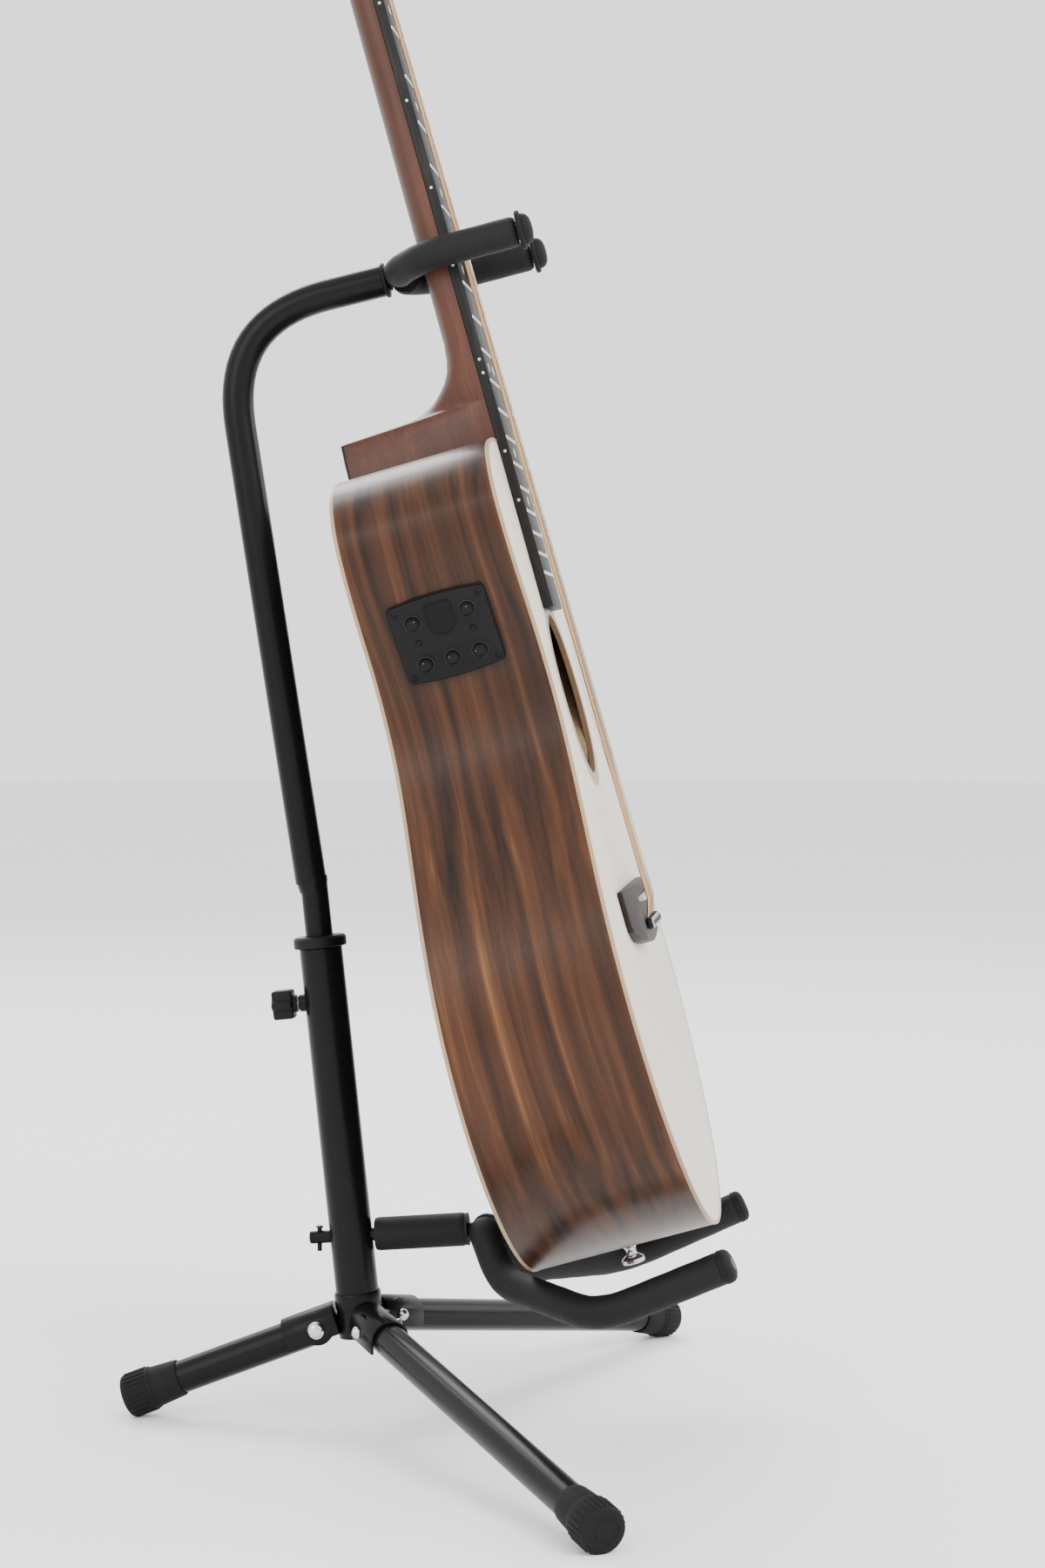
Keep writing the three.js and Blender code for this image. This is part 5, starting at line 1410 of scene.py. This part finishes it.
# ---- the stage, in metres ----
SOFTBOXES = (  # name, place, size, watts
    ("key", (-1.9, -2.3, 2.7), 2.0, 120),
    ("fill", (-2.9, 1.9, 1.9), 2.2, 50),
    ("rim", (2.2, 1.2, 2.6), 1.8, 70),
    ("front", (1.4, -2.8, 1.8), 1.8, 40),
)
LIT_POINT = (0, -0.02, 0.5)
ROOM_COLOUR, ROOM_STRENGTH = (0.93, 0.935, 0.94, 1), 1.9
FLOOR_RADIUS = 14
CAMERA_AT = (-1.8567, -0.25634, 0.4504)
CAMERA_TURN, CAMERA_DOWN = 6.11, 1.68  # degrees left of +X, and below level
CAMERA_LENS = 70  # millimetres, over a frame 36 high


def make_stage():
    bpy.ops.object.select_all(action="DESELECT")
    bpy.ops.mesh.primitive_circle_add(vertices=96, radius=FLOOR_RADIUS, fill_type="NGON", location=(0, 0, 0))
    floor = added()
    floor.name = "studio_floor"
    floor.data.materials.append(FINISHES["floor"])
    world = bpy.data.worlds.new("soft_room")
    bpy.context.scene.world = world
    world.use_nodes = True
    room = world.node_tree.nodes["Background"]
    room.inputs["Color"].default_value = ROOM_COLOUR
    room.inputs["Strength"].default_value = ROOM_STRENGTH
    for name, place, size, power in SOFTBOXES:
        bpy.ops.object.light_add(type="AREA", location=place)
        lamp = bpy.context.view_layer.objects.active
        lamp.name = f"{name}_softbox"
        lamp.data.shape = "SQUARE"
        lamp.data.size = size
        lamp.data.energy = power
        aim = Vector(LIT_POINT) - Vector(place)
        lamp.rotation_euler = aim.to_track_quat("-Z", "Y").to_euler()
    bpy.ops.object.camera_add(location=CAMERA_AT)
    camera = bpy.context.view_layer.objects.active
    camera.name = "view"
    turn, down = radians(CAMERA_TURN), radians(CAMERA_DOWN)
    look = Vector((cos(turn) * cos(down), sin(turn) * cos(down), -sin(down)))
    camera.rotation_euler = look.to_track_quat("-Z", "Y").to_euler()
    camera.data.lens = CAMERA_LENS
    camera.data.sensor_fit = "VERTICAL"
    camera.data.sensor_height = 36
    camera.data.clip_end = 60
    bpy.context.scene.camera = camera


# ---- the add-on ----


def make_insides():
    for node in ("neck_block", "tail_block", "top_brace"):
        dressed(node, "inside")


def make_legs():
    for name in LEGS:
        make_leg(name)


class GUITAR_OT_finishes(bpy.types.Operator):
    """Mix the finishes from the scene's colours"""

    bl_idname = "guitar.finishes"
    bl_label = "Finishes"

    def execute(self, context):
        mix_finishes()
        return {"FINISHED"}


class GUITAR_OT_stage(bpy.types.Operator):
    """Add the floor, the lights and the camera"""

    bl_idname = "guitar.stage"
    bl_label = "Stage"

    def execute(self, context):
        make_stage()
        return {"FINISHED"}


class GUITAR_OT_body(bpy.types.Operator):
    """Build the sides, top, back, bindings and rosette"""

    bl_idname = "guitar.body"
    bl_label = "Body"

    def execute(self, context):
        make_sides()
        make_plates()
        make_bindings()
        make_rosette()
        make_insides()
        return {"FINISHED"}


class GUITAR_OT_neck(bpy.types.Operator):
    """Build the neck, headstock, fingerboard, frets, dots and nut"""

    bl_idname = "guitar.neck"
    bl_label = "Neck"

    def execute(self, context):
        make_neck_pieces()
        make_head()
        make_fingerboard()
        return {"FINISHED"}


class GUITAR_OT_bridge(bpy.types.Operator):
    """Build the bridge, saddle, pins and strings"""

    bl_idname = "guitar.bridge"
    bl_label = "Bridge and strings"

    def execute(self, context):
        make_bridge()
        make_strings()
        return {"FINISHED"}


class GUITAR_OT_tuners(bpy.types.Operator):
    """Build the machine heads and their keys"""

    bl_idname = "guitar.tuners"
    bl_label = "Tuners"

    def execute(self, context):
        make_tuners()
        return {"FINISHED"}


class GUITAR_OT_preamp(bpy.types.Operator):
    """Build the preamp let into the side, and its controls"""

    bl_idname = "guitar.preamp"
    bl_label = "Preamp"

    def execute(self, context):
        make_preamp()
        make_controls()
        return {"FINISHED"}


class GUITAR_OT_end_pin(bpy.types.Operator):
    """Turn the strap pin"""

    bl_idname = "guitar.end_pin"
    bl_label = "End pin"

    def execute(self, context):
        make_end_pin()
        return {"FINISHED"}


class GUITAR_OT_mast(bpy.types.Operator):
    """Build the hub, mast, collar and height clamp"""

    bl_idname = "guitar.mast"
    bl_label = "Mast"

    def execute(self, context):
        make_hub()
        make_mast()
        make_collar()
        make_clamp_knob()
        return {"FINISHED"}


class GUITAR_OT_legs(bpy.types.Operator):
    """Build the three legs with their bolts and rubber feet"""

    bl_idname = "guitar.legs"
    bl_label = "Legs"

    def execute(self, context):
        make_legs()
        return {"FINISHED"}


class GUITAR_OT_gooseneck(bpy.types.Operator):
    """Bend the upper tube and fit its bush"""

    bl_idname = "guitar.gooseneck"
    bl_label = "Gooseneck"

    def execute(self, context):
        make_upper_tube()
        return {"FINISHED"}


class GUITAR_OT_yoke(bpy.types.Operator):
    """Build the yoke, its foam and its caps"""

    bl_idname = "guitar.yoke"
    bl_label = "Yoke"

    def execute(self, context):
        make_yoke()
        return {"FINISHED"}


class GUITAR_OT_cradle(bpy.types.Operator):
    """Build the cradle, its foam and its caps"""

    bl_idname = "guitar.cradle"
    bl_label = "Cradle"

    def execute(self, context):
        make_cradle()
        return {"FINISHED"}


OPERATORS = (
    GUITAR_OT_finishes, GUITAR_OT_stage, GUITAR_OT_body, GUITAR_OT_neck,
    GUITAR_OT_bridge, GUITAR_OT_tuners, GUITAR_OT_preamp, GUITAR_OT_end_pin,
    GUITAR_OT_mast, GUITAR_OT_legs, GUITAR_OT_gooseneck, GUITAR_OT_yoke,
    GUITAR_OT_cradle,
)


class GUITAR_PT_build(bpy.types.Panel):
    """Sizes, colours and the steps of the build"""

    bl_idname = "GUITAR_PT_build"
    bl_label = "Guitar on a stand"
    bl_space_type = "VIEW_3D"
    bl_region_type = "UI"
    bl_category = "Guitar"

    def draw(self, context):
        scene = context.scene
        for group in (scene.guitar_sizes, scene.stand_sizes, scene.guitar_colours):
            column = self.layout.column()
            for key in group.bl_rna.properties.keys():
                if key not in ("rna_type", "name"):
                    column.prop(group, key)
        for made in OPERATORS:
            self.layout.operator(made.bl_idname)


GROUPS = {"guitar_sizes": GuitarSizes, "stand_sizes": StandSizes, "guitar_colours": FinishColours}


def register():
    for name, group in GROUPS.items():
        bpy.utils.register_class(group)
        setattr(bpy.types.Scene, name, PointerProperty(type=group))
    for made in (*OPERATORS, GUITAR_PT_build):
        bpy.utils.register_class(made)


def unregister():
    for made in (GUITAR_PT_build, *reversed(OPERATORS)):
        bpy.utils.unregister_class(made)
    for name, group in GROUPS.items():
        delattr(bpy.types.Scene, name)
        bpy.utils.unregister_class(group)


def main():
    register()
    for made in OPERATORS:
        group, step = made.bl_idname.split(".")
        getattr(getattr(bpy.ops, group), step)()


if __name__ == "__main__":
    main()
